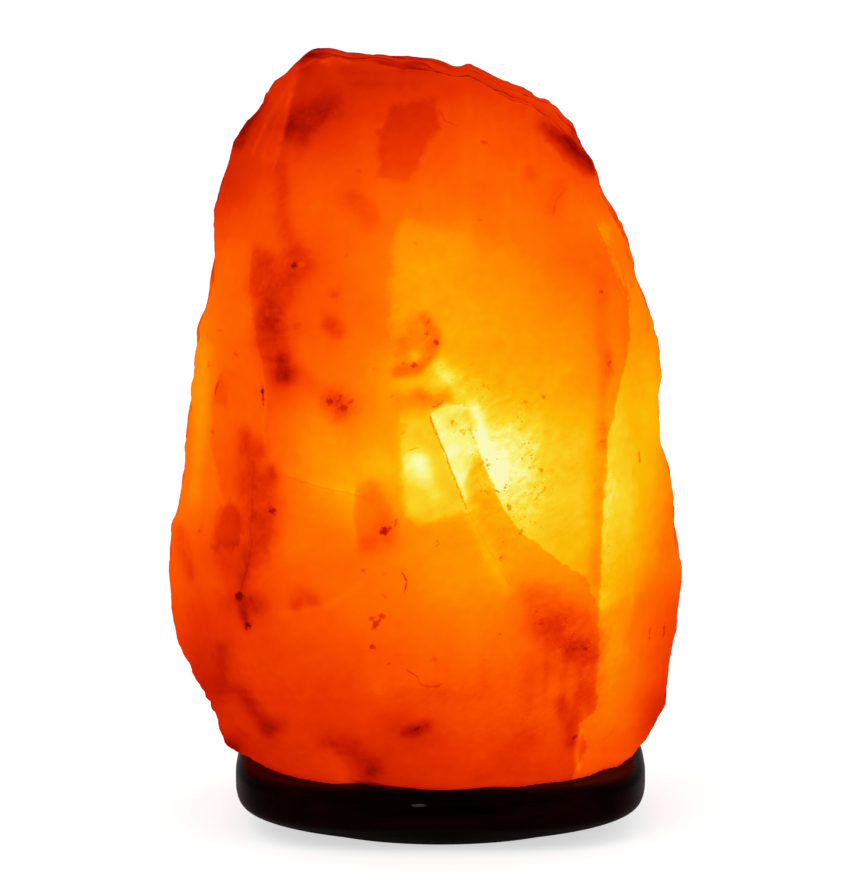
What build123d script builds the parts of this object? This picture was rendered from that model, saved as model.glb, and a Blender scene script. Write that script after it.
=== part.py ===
from build123d import *

import os
from math import cos, radians, sin, sqrt

# A salt crystal lamp. Millimetres, +Z up, the front faces -Y. The origin lies on the axis of the bore,
# on the plane that the lamp stands on.

# ---------------------------------------------------------------------------
# Driving dimensions
# ---------------------------------------------------------------------------

# Fits
play = 0.05  # radial clearance of a fixed or running fit
free_gap = 0.3  # gap between pieces that pass each other

# Foot ring and wooden base
foot_height = 1.8
base_width = 120.6
base_depth = 105.0
base_height = 17.2
base_top_round = 3.5
base_under_round = 10.5
foot_margin = 4.5  # from the ring's outer edge to the end of the flat underside
foot_inner_margin = 1.4  # from the recess to the ring
bore_radius = 22.0
ledge_height = 5.5  # wood left above the recess, which the holder plate bears on
plate_radius = 27.0
groove_width = 9.0
groove_height = 8.0

# Salt crystal
crystal_width = 148.6
crystal_depth = 126.0
crystal_height = 207.0
crystal_shift = -5.2  # its middle lies to the left of the bore
bore_height = 128.0
bore_end_round = 6.0

# Fixings between base and crystal
screw_angle = 28.0  # from the X axis to each of the four screws
screw_radius = 2.0
screw_head_radius = 4.0
screw_head_height = 2.6
screw_bite = 16.0  # length of shank in the plug
screw_recess_radius = 5.0
screw_recess_depth = 6.0
screw_web = 1.0  # least foot ring left on each side of a screw's recess
screw_washer_thickness = 0.8
plug_wall = 1.9
plug_height = 22.0

# Holder plate, clips and their springs
plate_thickness = 1.0
clip_pivot_offset = 16.5  # from the axis to a clip's pin
clip_pivot_rise = 2.6  # from the plate's upper face to a clip's pin
clip_height = 29.0
clip_elbow_height = 21.0
clip_width = 8.0
clip_thickness = 0.8
clip_tip_offset = 19.8  # from the axis to the clip's upper end
pin_radius = 1.0
pin_head_radius = 1.6
pin_head_height = 0.8
knuckle_wall = 0.8
lug_thickness = 1.0
lug_width = 4.0
spring_wire = 0.6
spring_length = 2.4

# Cord inlet and the tube that ties plate and socket
nipple_radius = 5.0
nipple_wall = 0.9
nipple_reach = 6.0  # length above the plate
nut_across_flats = 14.0
nut_height = 2.5
washer_radius = 8.0
washer_thickness = 0.8
washer_teeth = 12
bush_wall = 0.75
bush_flange_radius = 6.0
bush_flange_height = 1.2
bush_reach = 8.0  # length of the sleeve inside the tube

# Socket
socket_radius = 13.2
socket_wall = 2.2
cap_inset = 0.4  # how far the cap stands back from the skirt's face
cap_height = 17.0
cap_floor = 3.5
cap_shoulder = 3.5  # bevel round the cap's closed end
cap_step = 5.0  # height of the reduced rim that the skirt sits over
cap_rim_wall = 0.9
skirt_height = 34.0
skirt_lip_height = 2.0
core_height = 8.0
core_ledge = 1.0  # width of the ledge that the core sits on, and its depth below the cap's step
core_chamfer = 0.5
thread_pitch = 2.822
shell_crest_radius = 7.1
shell_groove_depth = 0.45
shell_wall = 0.4
shell_turns = 8
shell_flange = 1.5  # width of the flange that the shell stands on
contact_strip_width = 5.0
contact_strip_thickness = 0.5
contact_rise = 3.3
side_strip_height = 7.0
terminal_gap = 1.6  # from a terminal's head to the cap's wall
terminal_radius = 1.5
terminal_head_radius = 2.6
terminal_head_height = 2.0
terminal_bite = 5.0

# Bulb
bulb_radius = 16.0
bulb_length = 80.0
bulb_neck_radius = 7.6
bulb_wall = 0.8
bulb_cap_crest_radius = 6.94
bulb_cap_groove_depth = 0.45
bulb_cap_wall = 0.4
bulb_cap_turns = 5
bulb_cap_skirt_radius = 8.2
bulb_cap_skirt_height = 6.0
bulb_cap_flare_height = 2.0  # from the thread out to the skirt
bulb_neck_height = 3.0  # straight neck above the cap
insulator_overlap = 0.8  # how far the insulator reaches past the tip
glass_sink = 3.0  # from the end of the thread up to the glass
tip_radius = 2.4
tip_height = 1.6
insulator_height = 3.4
stem_height = 20.0
stem_flare_height = 7.0
stem_radius = 2.6
lead_radius = 0.4
lead_spread = 7.0  # from the axis to each end of the filament
lead_upright = 4.0  # straight length at each end of a lead wire
filament_height = 99.0  # above the plane that the lamp stands on
filament_radius = 0.45

# ---------------------------------------------------------------------------
# Shape of the crystal
# ---------------------------------------------------------------------------

# Outline from the front, up the left side and down the right: share of the width from the middle,
# share of the height above the seat
front_outline = [
    (-0.345, 0.000), (-0.388, 0.019), (-0.424, 0.086), (-0.480, 0.171), (-0.500, 0.286),
    (-0.478, 0.386), (-0.446, 0.595), (-0.411, 0.705), (-0.403, 0.790), (-0.357, 0.895),
    (-0.321, 0.938), (-0.223, 1.000), (-0.176, 1.000), (0.031, 0.981), (0.144, 0.959),
    (0.262, 0.920), (0.332, 0.858), (0.424, 0.690), (0.457, 0.616), (0.468, 0.476),
    (0.485, 0.362), (0.500, 0.248), (0.474, 0.076), (0.437, 0.024), (0.385, 0.000),
]

# Outline from the right, up the front and down the back: share of the depth from the middle, the front
# being negative, and share of the height
side_outline = [
    (-0.365, 0.000), (-0.425, 0.024), (-0.480, 0.150), (-0.500, 0.310), (-0.480, 0.540),
    (-0.410, 0.735), (-0.290, 0.890), (-0.130, 0.985), (0.050, 1.000), (0.210, 0.960),
    (0.350, 0.830), (0.445, 0.610), (0.500, 0.370), (0.490, 0.220), (0.430, 0.050),
    (0.360, 0.000),
]

# Outline from above, from the front left corner round by the right: shares of width and depth
plan_outline = [
    (-0.330, -0.420), (-0.110, -0.487), (0.110, -0.500), (0.340, -0.440), (0.500, -0.130),
    (0.500, 0.120), (0.370, 0.390), (0.130, 0.492), (-0.130, 0.480), (-0.380, 0.350),
    (-0.500, 0.100), (-0.500, -0.120),
]

# Faces struck off its corners: azimuth of the face's normal from +X, its slope above level, and how far
# out the face lies, as a share of the oval block that the crystal fills
struck_faces = [
    (212, 26, 0.975), (238, 40, 0.985), (296, 36, 0.990), (330, 30, 1.005), (28, 34, 0.995),
    (62, 30, 0.985), (120, 36, 0.975), (156, 28, 0.980), (226, -24, 1.200), (312, -26, 1.215),
    (46, -25, 1.195), (138, -27, 1.200), (200, 8, 1.010), (345, 6, 1.000),
]

# ---------------------------------------------------------------------------
# Heights and radii that follow
# ---------------------------------------------------------------------------

base_bottom = foot_height
seat = base_bottom + base_height  # the crystal's seat on the base
plate_top = seat - ledge_height
plate_bottom = plate_top - plate_thickness
recess_radius = plate_radius + 2 * free_gap
foot_inner_radius = recess_radius + foot_inner_margin
crystal_middle = (crystal_shift, 0, seat + crystal_height / 2)

plug_radius = screw_radius + plug_wall
screw_seat = base_bottom + screw_recess_depth
screw_head_top = screw_seat - screw_washer_thickness
screw_across = cos(radians(screw_angle))
screw_along = sin(radians(screw_angle))


def oval_reach(half_width, half_depth):
    """How far an oval reaches from the axis, towards a screw."""
    return 1 / sqrt((screw_across / half_width) ** 2 + (screw_along / half_depth) ** 2)


# The base is rounded underneath only as far as leaves the screws their flat, and the screws stand in the
# middle of the foot ring, which is an oval outside and round inside
screw_flat = foot_inner_radius + 2 * (screw_recess_radius + screw_web)
under_round = min(base_under_round, oval_reach(base_width / 2, base_depth / 2) - foot_margin - screw_flat)
foot_half_width = base_width / 2 - under_round - foot_margin
foot_half_depth = base_depth / 2 - under_round - foot_margin
foot_reach = oval_reach(foot_half_width, foot_half_depth)
screw_reach = (foot_inner_radius + foot_reach) / 2
screw_places = GridLocations(2 * screw_reach * screw_across, 2 * screw_reach * screw_along, 2, 2)

pivot_height = plate_top + clip_pivot_rise
clip_elbow_offset = sqrt(bore_radius**2 - (clip_width / 2) ** 2) - free_gap - clip_thickness / 2
knuckle_radius = pin_radius + play + knuckle_wall
lug_place = clip_width / 2 + free_gap + lug_thickness / 2
lug_half_height = lug_width / 2
pin_half_length = lug_place + lug_thickness / 2 + pin_head_height
spring_inner_radius = pin_radius + play
spring_radius = spring_inner_radius + spring_wire
knuckle_start = spring_length / 2 + play

nut_top = plate_bottom - washer_thickness
nut_bottom = nut_top - nut_height
nipple_bore = nipple_radius - nipple_wall
bush_bore = nipple_bore - play - bush_wall

cap_radius = socket_radius - cap_inset
cap_top = plate_top + cap_height
cap_step_bottom = cap_top - cap_step
socket_bore = socket_radius - socket_wall
cap_rim_radius = socket_bore + cap_rim_wall
core_seat = cap_step_bottom - core_ledge
core_top = core_seat + core_height
core_radius = socket_bore - 2 * play
terminal_offset = socket_bore - core_ledge - terminal_gap - terminal_head_radius
skirt_top = cap_step_bottom + skirt_height
shell_radius = shell_crest_radius + shell_groove_depth + shell_wall

tip_bottom = core_top + contact_rise + play
tip_round = (tip_radius**2 + tip_height**2) / (2 * tip_height)
insulator_bottom = tip_bottom + tip_height
bulb_cap_bottom = insulator_bottom + insulator_height
bulb_cap_thread_top = bulb_cap_bottom + bulb_cap_turns * thread_pitch
bulb_cap_top = bulb_cap_thread_top + bulb_cap_skirt_height
bulb_top = tip_bottom + bulb_length
bulb_cap_root_radius = bulb_cap_crest_radius - bulb_cap_groove_depth
bulb_cap_bore = bulb_cap_root_radius - bulb_cap_wall
glass_bottom = bulb_cap_thread_top + glass_sink
stem_bottom = glass_bottom + bulb_wall
stem_top = stem_bottom + stem_height

os.makedirs("parts", exist_ok=True)


def shown(outline, across, up, shift=0.0, lift=0.0):
    """Turns an outline of shares into points at the crystal's size."""
    return [(shift + u * across, lift + v * up) for u, v in outline]


def facing(azimuth, slope):
    """Direction of a face's normal from its azimuth and slope in degrees."""
    level = cos(radians(slope))
    return Vector(level * cos(radians(azimuth)), level * sin(radians(azimuth)), sin(radians(slope)))


def struck_plane(azimuth, slope, reach):
    """Plane of a struck face, tangent to the block's oval when reach is 1."""
    normal = facing(azimuth, slope)
    support = sqrt(
        (normal.X * crystal_width / 2) ** 2
        + (normal.Y * crystal_depth / 2) ** 2
        + (normal.Z * crystal_height / 2) ** 2
    )
    return Plane(origin=Vector(*crystal_middle) + normal * support * reach, z_dir=normal)


# ---------------------------------------------------------------------------
# Crystal, base and what joins them
# ---------------------------------------------------------------------------

with BuildPart() as salt_crystal:
    with BuildSketch(Plane.XZ):
        with BuildLine():
            Polyline(*shown(front_outline, crystal_width, crystal_height, crystal_shift, seat), close=True)
        make_face()
    extrude(amount=crystal_depth, both=True)
    with BuildSketch(Plane.YZ.offset(crystal_shift)):
        with BuildLine():
            Polyline(*shown(side_outline, crystal_depth, crystal_height, 0, seat), close=True)
        make_face()
    extrude(amount=crystal_width, both=True, mode=Mode.INTERSECT)
    with BuildSketch(Plane.XY.offset(seat)):
        with BuildLine():
            Polyline(*shown(plan_outline, crystal_width, crystal_depth, crystal_shift), close=True)
        make_face()
    extrude(amount=crystal_height, mode=Mode.INTERSECT)
    for azimuth, slope, reach in struck_faces:
        split(bisect_by=struck_plane(azimuth, slope, reach), keep=Keep.BOTTOM)
    # The bore, with a rounded end
    with BuildSketch(Plane.XZ):
        with BuildLine():
            Polyline((0, seat), (bore_radius, seat), (bore_radius, seat + bore_height - bore_end_round))
            RadiusArc(
                (bore_radius, seat + bore_height - bore_end_round),
                (bore_radius - bore_end_round, seat + bore_height),
                -bore_end_round,
            )
            Polyline((bore_radius - bore_end_round, seat + bore_height), (0, seat + bore_height), (0, seat))
        make_face()
    revolve(axis=Axis.Z, mode=Mode.SUBTRACT)
    with BuildSketch(Plane.XY.offset(seat)):
        with screw_places:
            Circle(plug_radius + play)
    extrude(amount=plug_height, mode=Mode.SUBTRACT)
salt_crystal.part.label = "salt_crystal"
export_step(salt_crystal.part, "parts/salt_crystal.step")

with BuildPart() as wood_base:
    with BuildSketch(Plane.XY.offset(base_bottom)):
        Ellipse(base_width / 2, base_depth / 2)
    extrude(amount=base_height)
    fillet(wood_base.edges().group_by(Axis.Z)[-1], base_top_round)
    fillet(wood_base.edges().group_by(Axis.Z)[0], under_round)
    with BuildSketch(Plane.XY.offset(base_bottom)):
        Circle(bore_radius)
    extrude(amount=base_height, mode=Mode.SUBTRACT)
    with BuildSketch(Plane.XY.offset(base_bottom)):
        Circle(recess_radius)
    extrude(amount=base_height - ledge_height, mode=Mode.SUBTRACT)
    with BuildSketch(Plane.XY.offset(base_bottom)):
        with Locations((0, base_depth / 4)):
            Rectangle(groove_width, base_depth / 2)
    extrude(amount=groove_height, mode=Mode.SUBTRACT)
    with BuildSketch(Plane.XY.offset(base_bottom)):
        with screw_places:
            Circle(screw_radius + free_gap)
    extrude(amount=base_height, mode=Mode.SUBTRACT)
    with BuildSketch(Plane.XY.offset(base_bottom)):
        with screw_places:
            Circle(screw_recess_radius)
    extrude(amount=screw_recess_depth, mode=Mode.SUBTRACT)
wood_base.part.label = "wood_base"
export_step(wood_base.part, "parts/wood_base.step")

with BuildPart() as foot_ring:
    with BuildSketch():
        Ellipse(foot_half_width, foot_half_depth)
        Circle(foot_inner_radius, mode=Mode.SUBTRACT)
        with Locations((0, base_depth / 4)):
            Rectangle(groove_width, base_depth / 2, mode=Mode.SUBTRACT)
        with screw_places:
            Circle(screw_recess_radius, mode=Mode.SUBTRACT)
    extrude(amount=foot_height)
foot_ring.part.label = "foot_ring"
export_step(foot_ring.part, "parts/foot_ring.step")

with BuildPart() as crystal_plugs:
    with BuildSketch(Plane.XY.offset(seat)):
        with screw_places:
            Circle(plug_radius)
            Circle(screw_radius + play, mode=Mode.SUBTRACT)
    extrude(amount=plug_height)
crystal_plugs.part.label = "crystal_plugs"
export_step(crystal_plugs.part, "parts/crystal_plugs.step")

with BuildPart() as screw_washers:
    with BuildSketch(Plane.XY.offset(screw_head_top)):
        with screw_places:
            Circle(screw_recess_radius - free_gap)
            Circle(screw_radius + play, mode=Mode.SUBTRACT)
    extrude(amount=screw_washer_thickness)
screw_washers.part.label = "screw_washers"
export_step(screw_washers.part, "parts/screw_washers.step")

with BuildPart() as base_screws:
    with BuildSketch(Plane.XY.offset(screw_head_top - screw_head_height)):
        with screw_places:
            Circle(screw_head_radius)
    extrude(amount=screw_head_height)
    fillet(base_screws.edges().group_by(Axis.Z)[0], screw_head_height / 2)
    with BuildSketch(Plane.XY.offset(screw_head_top)):
        with screw_places:
            Circle(screw_radius)
    extrude(amount=seat + screw_bite - screw_head_top)
    chamfer(base_screws.edges().group_by(Axis.Z)[-1], length=screw_radius * 1.5, length2=screw_radius * 0.8)
    # A cross recess in each head
    with BuildSketch(Plane.XY.offset(screw_head_top - screw_head_height)):
        with screw_places:
            Rectangle(screw_head_radius, screw_head_radius / 4)
            Rectangle(screw_head_radius / 4, screw_head_radius)
    extrude(amount=screw_head_height / 2, mode=Mode.SUBTRACT)
base_screws.part.label = "base_screws"
export_step(base_screws.part, "parts/base_screws.step")

# ---------------------------------------------------------------------------
# Holder plate, clips, pins and springs
# ---------------------------------------------------------------------------

with BuildPart() as holder_plate:
    with BuildSketch(Plane.XY.offset(plate_bottom)):
        Circle(plate_radius)
        Circle(nipple_radius + play, mode=Mode.SUBTRACT)
    extrude(amount=plate_thickness)
    # Two lugs a side, round-topped, bored for the pins
    for side in (-1, 1):
        for lug in (-1, 1):
            with BuildSketch(Plane.XZ.offset(-lug * lug_place)):
                with Locations((side * clip_pivot_offset, pivot_height - clip_pivot_rise / 2)):
                    Rectangle(lug_width, clip_pivot_rise)
                with Locations((side * clip_pivot_offset, pivot_height)):
                    Circle(lug_half_height)
                    Circle(pin_radius, mode=Mode.SUBTRACT)
            extrude(amount=lug_thickness / 2, both=True)
holder_plate.part.label = "holder_plate"
export_step(holder_plate.part, "parts/holder_plate.step")

with BuildPart() as clip_pins:
    for side in (-1, 1):
        with BuildSketch(Plane.XZ):
            with Locations((side * clip_pivot_offset, pivot_height)):
                Circle(pin_radius)
        extrude(amount=pin_half_length, both=True)
        for end in (-1, 1):
            with BuildSketch(Plane.XZ.offset(end * (pin_half_length - pin_head_height / 2))):
                with Locations((side * clip_pivot_offset, pivot_height)):
                    Circle(pin_head_radius)
            extrude(amount=pin_head_height / 2, both=True)
clip_pins.part.label = "clip_pins"
export_step(clip_pins.part, "parts/clip_pins.step")


def clip_line(side):
    """Middle line of a clip's strip: up from its knuckle to the elbow on the bore, then in to its tip."""
    return [
        (side * (clip_pivot_offset + knuckle_radius - clip_thickness / 2), pivot_height),
        (side * clip_elbow_offset, pivot_height + clip_elbow_height),
        (side * clip_tip_offset, pivot_height + clip_height),
    ]


for side, name in ((-1, "clip_left"), (1, "clip_right")):
    with BuildPart() as clip:
        with BuildSketch(Plane.XZ):
            with BuildLine():
                FilletPolyline(*clip_line(side), radius=clip_thickness * 4)
            trace(line_width=clip_thickness)
        extrude(amount=clip_width / 2, both=True)
        with BuildSketch(Plane.XZ):
            with Locations((side * clip_pivot_offset, pivot_height)):
                Circle(knuckle_radius)
        extrude(amount=clip_width / 2, both=True)
        # The window between the knuckles, where the spring sits
        with Locations((side * clip_pivot_offset, 0, pivot_height)):
            Box(4 * knuckle_radius, 2 * knuckle_start, 4 * knuckle_radius, mode=Mode.SUBTRACT)
        with BuildSketch(Plane.XZ):
            with Locations((side * clip_pivot_offset, pivot_height)):
                Circle(pin_radius + play)
        extrude(amount=clip_width / 2, both=True, mode=Mode.SUBTRACT)
    clip.part.label = name
    export_step(clip.part, f"parts/{name}.step")

for side, name in ((-1, "clip_spring_left"), (1, "clip_spring_right")):
    with BuildPart() as spring:
        with BuildSketch(Plane.XZ):
            with Locations((side * clip_pivot_offset, pivot_height)):
                Circle(spring_radius)
                Circle(spring_inner_radius, mode=Mode.SUBTRACT)
        extrude(amount=spring_length / 2, both=True)
        # One leg lies on the plate, the other rises inside the clip
        with BuildSketch(Plane.XY.offset(plate_top)):
            with Locations((side * (clip_pivot_offset + spring_radius), 0)):
                Rectangle(spring_radius * 2, spring_wire)
        extrude(amount=spring_wire)
        with BuildSketch(Plane.XY.offset(plate_top)):
            with Locations((side * (clip_pivot_offset + spring_radius - spring_wire / 2), 0)):
                Rectangle(spring_wire, spring_wire)
        extrude(amount=clip_pivot_rise + 1.6 * knuckle_radius)
        with BuildSketch(Plane.XZ):
            with Locations((side * clip_pivot_offset, pivot_height)):
                Circle(spring_inner_radius)
        extrude(amount=spring_length / 2, both=True, mode=Mode.SUBTRACT)
    spring.part.label = name
    export_step(spring.part, f"parts/{name}.step")

# ---------------------------------------------------------------------------
# Cord inlet, and the tube, nut and washer that tie plate and socket
# ---------------------------------------------------------------------------

with BuildPart() as nipple:
    with BuildSketch(Plane.XY.offset(nut_bottom)):
        Circle(nipple_radius)
        Circle(nipple_bore, mode=Mode.SUBTRACT)
    extrude(amount=plate_top + nipple_reach - nut_bottom)
nipple.part.label = "nipple"
export_step(nipple.part, "parts/nipple.step")

with BuildPart() as nipple_nut:
    with BuildSketch(Plane.XY.offset(nut_bottom)):
        RegularPolygon(nut_across_flats / 2, 6, major_radius=False)
        Circle(nipple_radius + play, mode=Mode.SUBTRACT)
    extrude(amount=nut_height)
nipple_nut.part.label = "nipple_nut"
export_step(nipple_nut.part, "parts/nipple_nut.step")

with BuildPart() as lock_washer:
    with BuildSketch(Plane.XY.offset(nut_top)):
        Circle(washer_radius)
        Circle(nipple_radius + play, mode=Mode.SUBTRACT)
        with PolarLocations(washer_radius, washer_teeth):
            Rectangle(washer_radius / 4, washer_radius / 5, mode=Mode.SUBTRACT)
    extrude(amount=washer_thickness)
lock_washer.part.label = "lock_washer"
export_step(lock_washer.part, "parts/lock_washer.step")

with BuildPart() as cord_bush:
    with BuildSketch(Plane.XY.offset(nut_bottom - bush_flange_height)):
        Circle(bush_flange_radius)
    extrude(amount=bush_flange_height)
    fillet(cord_bush.edges().group_by(Axis.Z)[0], bush_flange_height / 2)
    with BuildSketch(Plane.XY.offset(nut_bottom)):
        Circle(nipple_bore - play)
    extrude(amount=bush_reach)
    with BuildSketch(Plane.XY.offset(nut_bottom - bush_flange_height)):
        Circle(bush_bore)
    extrude(amount=bush_flange_height + bush_reach, mode=Mode.SUBTRACT)
cord_bush.part.label = "cord_bush"
export_step(cord_bush.part, "parts/cord_bush.step")

# ---------------------------------------------------------------------------
# Socket
# ---------------------------------------------------------------------------

with BuildPart() as socket_cap:
    with BuildSketch(Plane.XZ):
        with BuildLine():
            Polyline(
                (nipple_radius + play, plate_top),
                (cap_radius - cap_shoulder, plate_top),
                (cap_radius, plate_top + cap_shoulder),
                (cap_radius, cap_step_bottom),
                (cap_rim_radius, cap_step_bottom),
                (cap_rim_radius, cap_top),
                (socket_bore, cap_top),
                (socket_bore, core_seat),
                (socket_bore - core_ledge, core_seat),
                (socket_bore - core_ledge, plate_top + cap_floor + cap_shoulder / 2),
                (socket_bore - core_ledge - cap_shoulder / 2, plate_top + cap_floor),
                (nipple_radius + play, plate_top + cap_floor),
                close=True,
            )
        make_face()
    revolve(axis=Axis.Z)
socket_cap.part.label = "socket_cap"
export_step(socket_cap.part, "parts/socket_cap.step")

with BuildPart() as socket_skirt:
    with BuildSketch(Plane.XZ):
        with BuildLine():
            Polyline(
                (cap_rim_radius + play, cap_step_bottom),
                (socket_radius, cap_step_bottom),
                (socket_radius, skirt_top),
                (shell_radius + free_gap, skirt_top),
                (shell_radius + free_gap, skirt_top - skirt_lip_height),
                (socket_bore, skirt_top - skirt_lip_height),
                (socket_bore, cap_top),
                (cap_rim_radius + play, cap_top),
                close=True,
            )
        make_face()
    revolve(axis=Axis.Z)
    fillet(socket_skirt.edges().group_by(Axis.Z)[-1].sort_by(SortBy.RADIUS)[-1], skirt_lip_height / 2)
socket_skirt.part.label = "socket_skirt"
export_step(socket_skirt.part, "parts/socket_skirt.step")

with BuildPart() as socket_core:
    with BuildSketch(Plane.XY.offset(core_seat)):
        Circle(core_radius)
    extrude(amount=core_height)
    with BuildSketch(Plane.XY.offset(core_seat)):
        with PolarLocations(terminal_offset, 2):
            Circle(terminal_radius + play)
    extrude(amount=terminal_bite, mode=Mode.SUBTRACT)
    chamfer(socket_core.faces().sort_by(Axis.Z)[-1].edges(), core_chamfer)
socket_core.part.label = "socket_core"
export_step(socket_core.part, "parts/socket_core.step")


def threaded_wall(crest, groove, wall, turns, bottom):
    """Half section of a rolled sheet wall whose rings stand a thread's pitch apart."""
    step = thread_pitch / 2
    inner = [(crest + groove * (i % 2), bottom + i * step) for i in range(2 * turns + 1)]
    outer = [(radius + wall, height) for radius, height in reversed(inner)]
    return inner + outer


with BuildPart() as socket_shell:
    with BuildSketch(Plane.XZ):
        with BuildLine():
            Polyline(
                *threaded_wall(shell_crest_radius, shell_groove_depth, shell_wall, shell_turns, core_top),
                close=True,
            )
        make_face()
    revolve(axis=Axis.Z)
    with BuildSketch(Plane.XY.offset(core_top)):
        Circle(shell_crest_radius + shell_wall / 2)
        Circle(shell_crest_radius - shell_flange, mode=Mode.SUBTRACT)
    extrude(amount=shell_wall)
socket_shell.part.label = "socket_shell"
export_step(socket_shell.part, "parts/socket_shell.step")

with BuildPart() as centre_contact:
    with BuildSketch(Plane.XZ):
        with BuildLine():
            FilletPolyline(
                (-tip_radius * 2, core_top + contact_strip_thickness / 2),
                (tip_radius * 1.2, core_top + contact_strip_thickness / 2),
                (-tip_radius / 2, core_top + contact_rise - contact_strip_thickness / 2),
                (tip_radius, core_top + contact_rise - contact_strip_thickness / 2),
                radius=contact_strip_thickness,
            )
        trace(line_width=contact_strip_thickness)
    extrude(amount=contact_strip_width / 2, both=True)
centre_contact.part.label = "centre_contact"
export_step(centre_contact.part, "parts/centre_contact.step")

with BuildPart() as side_contact:
    with BuildSketch(Plane.XZ):
        with BuildLine():
            Polyline(
                (core_radius - core_chamfer - free_gap, core_top + contact_strip_thickness / 2),
                (shell_radius + contact_strip_thickness / 2, core_top + contact_strip_thickness / 2),
                (shell_radius + contact_strip_thickness / 2, core_top + side_strip_height),
            )
        trace(line_width=contact_strip_thickness)
    extrude(amount=contact_strip_width / 4, both=True)
side_contact.part.label = "side_contact"
export_step(side_contact.part, "parts/side_contact.step")

with BuildPart() as terminal_screws:
    with BuildSketch(Plane.XY.offset(core_seat - terminal_head_height)):
        with PolarLocations(terminal_offset, 2):
            Circle(terminal_head_radius)
            Rectangle(terminal_head_radius * 1.6, terminal_radius / 2, mode=Mode.SUBTRACT)
    extrude(amount=terminal_head_height / 2)
    with BuildSketch(Plane.XY.offset(core_seat - terminal_head_height / 2)):
        with PolarLocations(terminal_offset, 2):
            Circle(terminal_head_radius)
    extrude(amount=terminal_head_height / 2)
    with BuildSketch(Plane.XY.offset(core_seat)):
        with PolarLocations(terminal_offset, 2):
            Circle(terminal_radius)
    extrude(amount=terminal_bite)
terminal_screws.part.label = "terminal_screws"
export_step(terminal_screws.part, "parts/terminal_screws.step")

# ---------------------------------------------------------------------------
# Bulb
# ---------------------------------------------------------------------------

with BuildPart() as bulb_contact:
    with BuildSketch(Plane.XZ):
        with BuildLine():
            Polyline((0, tip_bottom), (0, insulator_bottom), (tip_radius, insulator_bottom))
            RadiusArc((tip_radius, insulator_bottom), (0, tip_bottom), tip_round)
        make_face()
    revolve(axis=Axis.Z)
bulb_contact.part.label = "bulb_contact"
export_step(bulb_contact.part, "parts/bulb_contact.step")

with BuildPart() as bulb_insulator:
    with BuildSketch(Plane.XY.offset(insulator_bottom)):
        Circle(tip_radius + insulator_overlap)
    with BuildSketch(Plane.XY.offset(bulb_cap_bottom)):
        Circle(bulb_cap_bore)
    loft()
bulb_insulator.part.label = "bulb_insulator"
export_step(bulb_insulator.part, "parts/bulb_insulator.step")

with BuildPart() as bulb_cap:
    with BuildSketch(Plane.XZ):
        with BuildLine():
            Polyline(
                *threaded_wall(
                    bulb_cap_bore,
                    bulb_cap_groove_depth,
                    bulb_cap_wall,
                    bulb_cap_turns,
                    bulb_cap_bottom,
                ),
                close=True,
            )
        make_face()
    revolve(axis=Axis.Z)
    with BuildSketch(Plane.XZ):
        with BuildLine():
            Polyline(
                (bulb_cap_bore, bulb_cap_thread_top),
                (bulb_cap_root_radius, bulb_cap_thread_top),
                (bulb_cap_skirt_radius, bulb_cap_thread_top + bulb_cap_flare_height),
                (bulb_cap_skirt_radius, bulb_cap_top),
                (bulb_cap_skirt_radius - bulb_cap_wall, bulb_cap_top),
                (bulb_cap_skirt_radius - bulb_cap_wall, bulb_cap_thread_top + bulb_cap_flare_height),
                close=True,
            )
        make_face()
    revolve(axis=Axis.Z)
bulb_cap.part.label = "bulb_cap"
export_step(bulb_cap.part, "parts/bulb_cap.step")


def glass_section(inset):
    """Half section of the pear-shaped glass, drawn in by inset: neck, flare and round end."""
    neck = bulb_neck_radius - inset
    belly = bulb_radius - inset
    round_middle = bulb_top - bulb_radius
    bottom = glass_bottom + inset
    shoulder = bulb_cap_top + bulb_neck_height
    Polyline((0, bottom), (neck, bottom), (neck, shoulder))
    Spline(
        (neck, shoulder),
        (belly, round_middle),
        tangents=((0, 1), (0, 1)),
    )
    RadiusArc((belly, round_middle), (0, bulb_top - inset), -belly)
    Line((0, bulb_top - inset), (0, bottom))


with BuildPart() as bulb_glass:
    with BuildSketch(Plane.XZ):
        with BuildLine():
            glass_section(0)
        make_face()
    revolve(axis=Axis.Z)
    with BuildSketch(Plane.XZ):
        with BuildLine():
            glass_section(bulb_wall)
        make_face()
    revolve(axis=Axis.Z, mode=Mode.SUBTRACT)
bulb_glass.part.label = "bulb_glass"
export_step(bulb_glass.part, "parts/bulb_glass.step")

with BuildPart() as bulb_stem:
    with BuildSketch(Plane.XY.offset(stem_bottom)):
        Circle(bulb_neck_radius - bulb_wall - free_gap)
    with BuildSketch(Plane.XY.offset(stem_bottom + stem_flare_height)):
        Circle(stem_radius)
    with BuildSketch(Plane.XY.offset(stem_top)):
        Circle(stem_radius)
    loft(ruled=True)
bulb_stem.part.label = "bulb_stem"
export_step(bulb_stem.part, "parts/bulb_stem.step")

with BuildPart() as lead_wires:
    for side in (-1, 1):
        with BuildLine():
            lead = FilletPolyline(
                (side * stem_radius / 2, 0, stem_top),
                (side * stem_radius / 2, 0, stem_top + lead_upright),
                (side * lead_spread, 0, filament_height - lead_upright),
                (side * lead_spread, 0, filament_height),
                radius=lead_upright / 2,
            )
        with BuildSketch(Plane(origin=lead @ 0, z_dir=lead % 0)):
            Circle(lead_radius)
        sweep(path=lead)
lead_wires.part.label = "lead_wires"
export_step(lead_wires.part, "parts/lead_wires.step")

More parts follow.
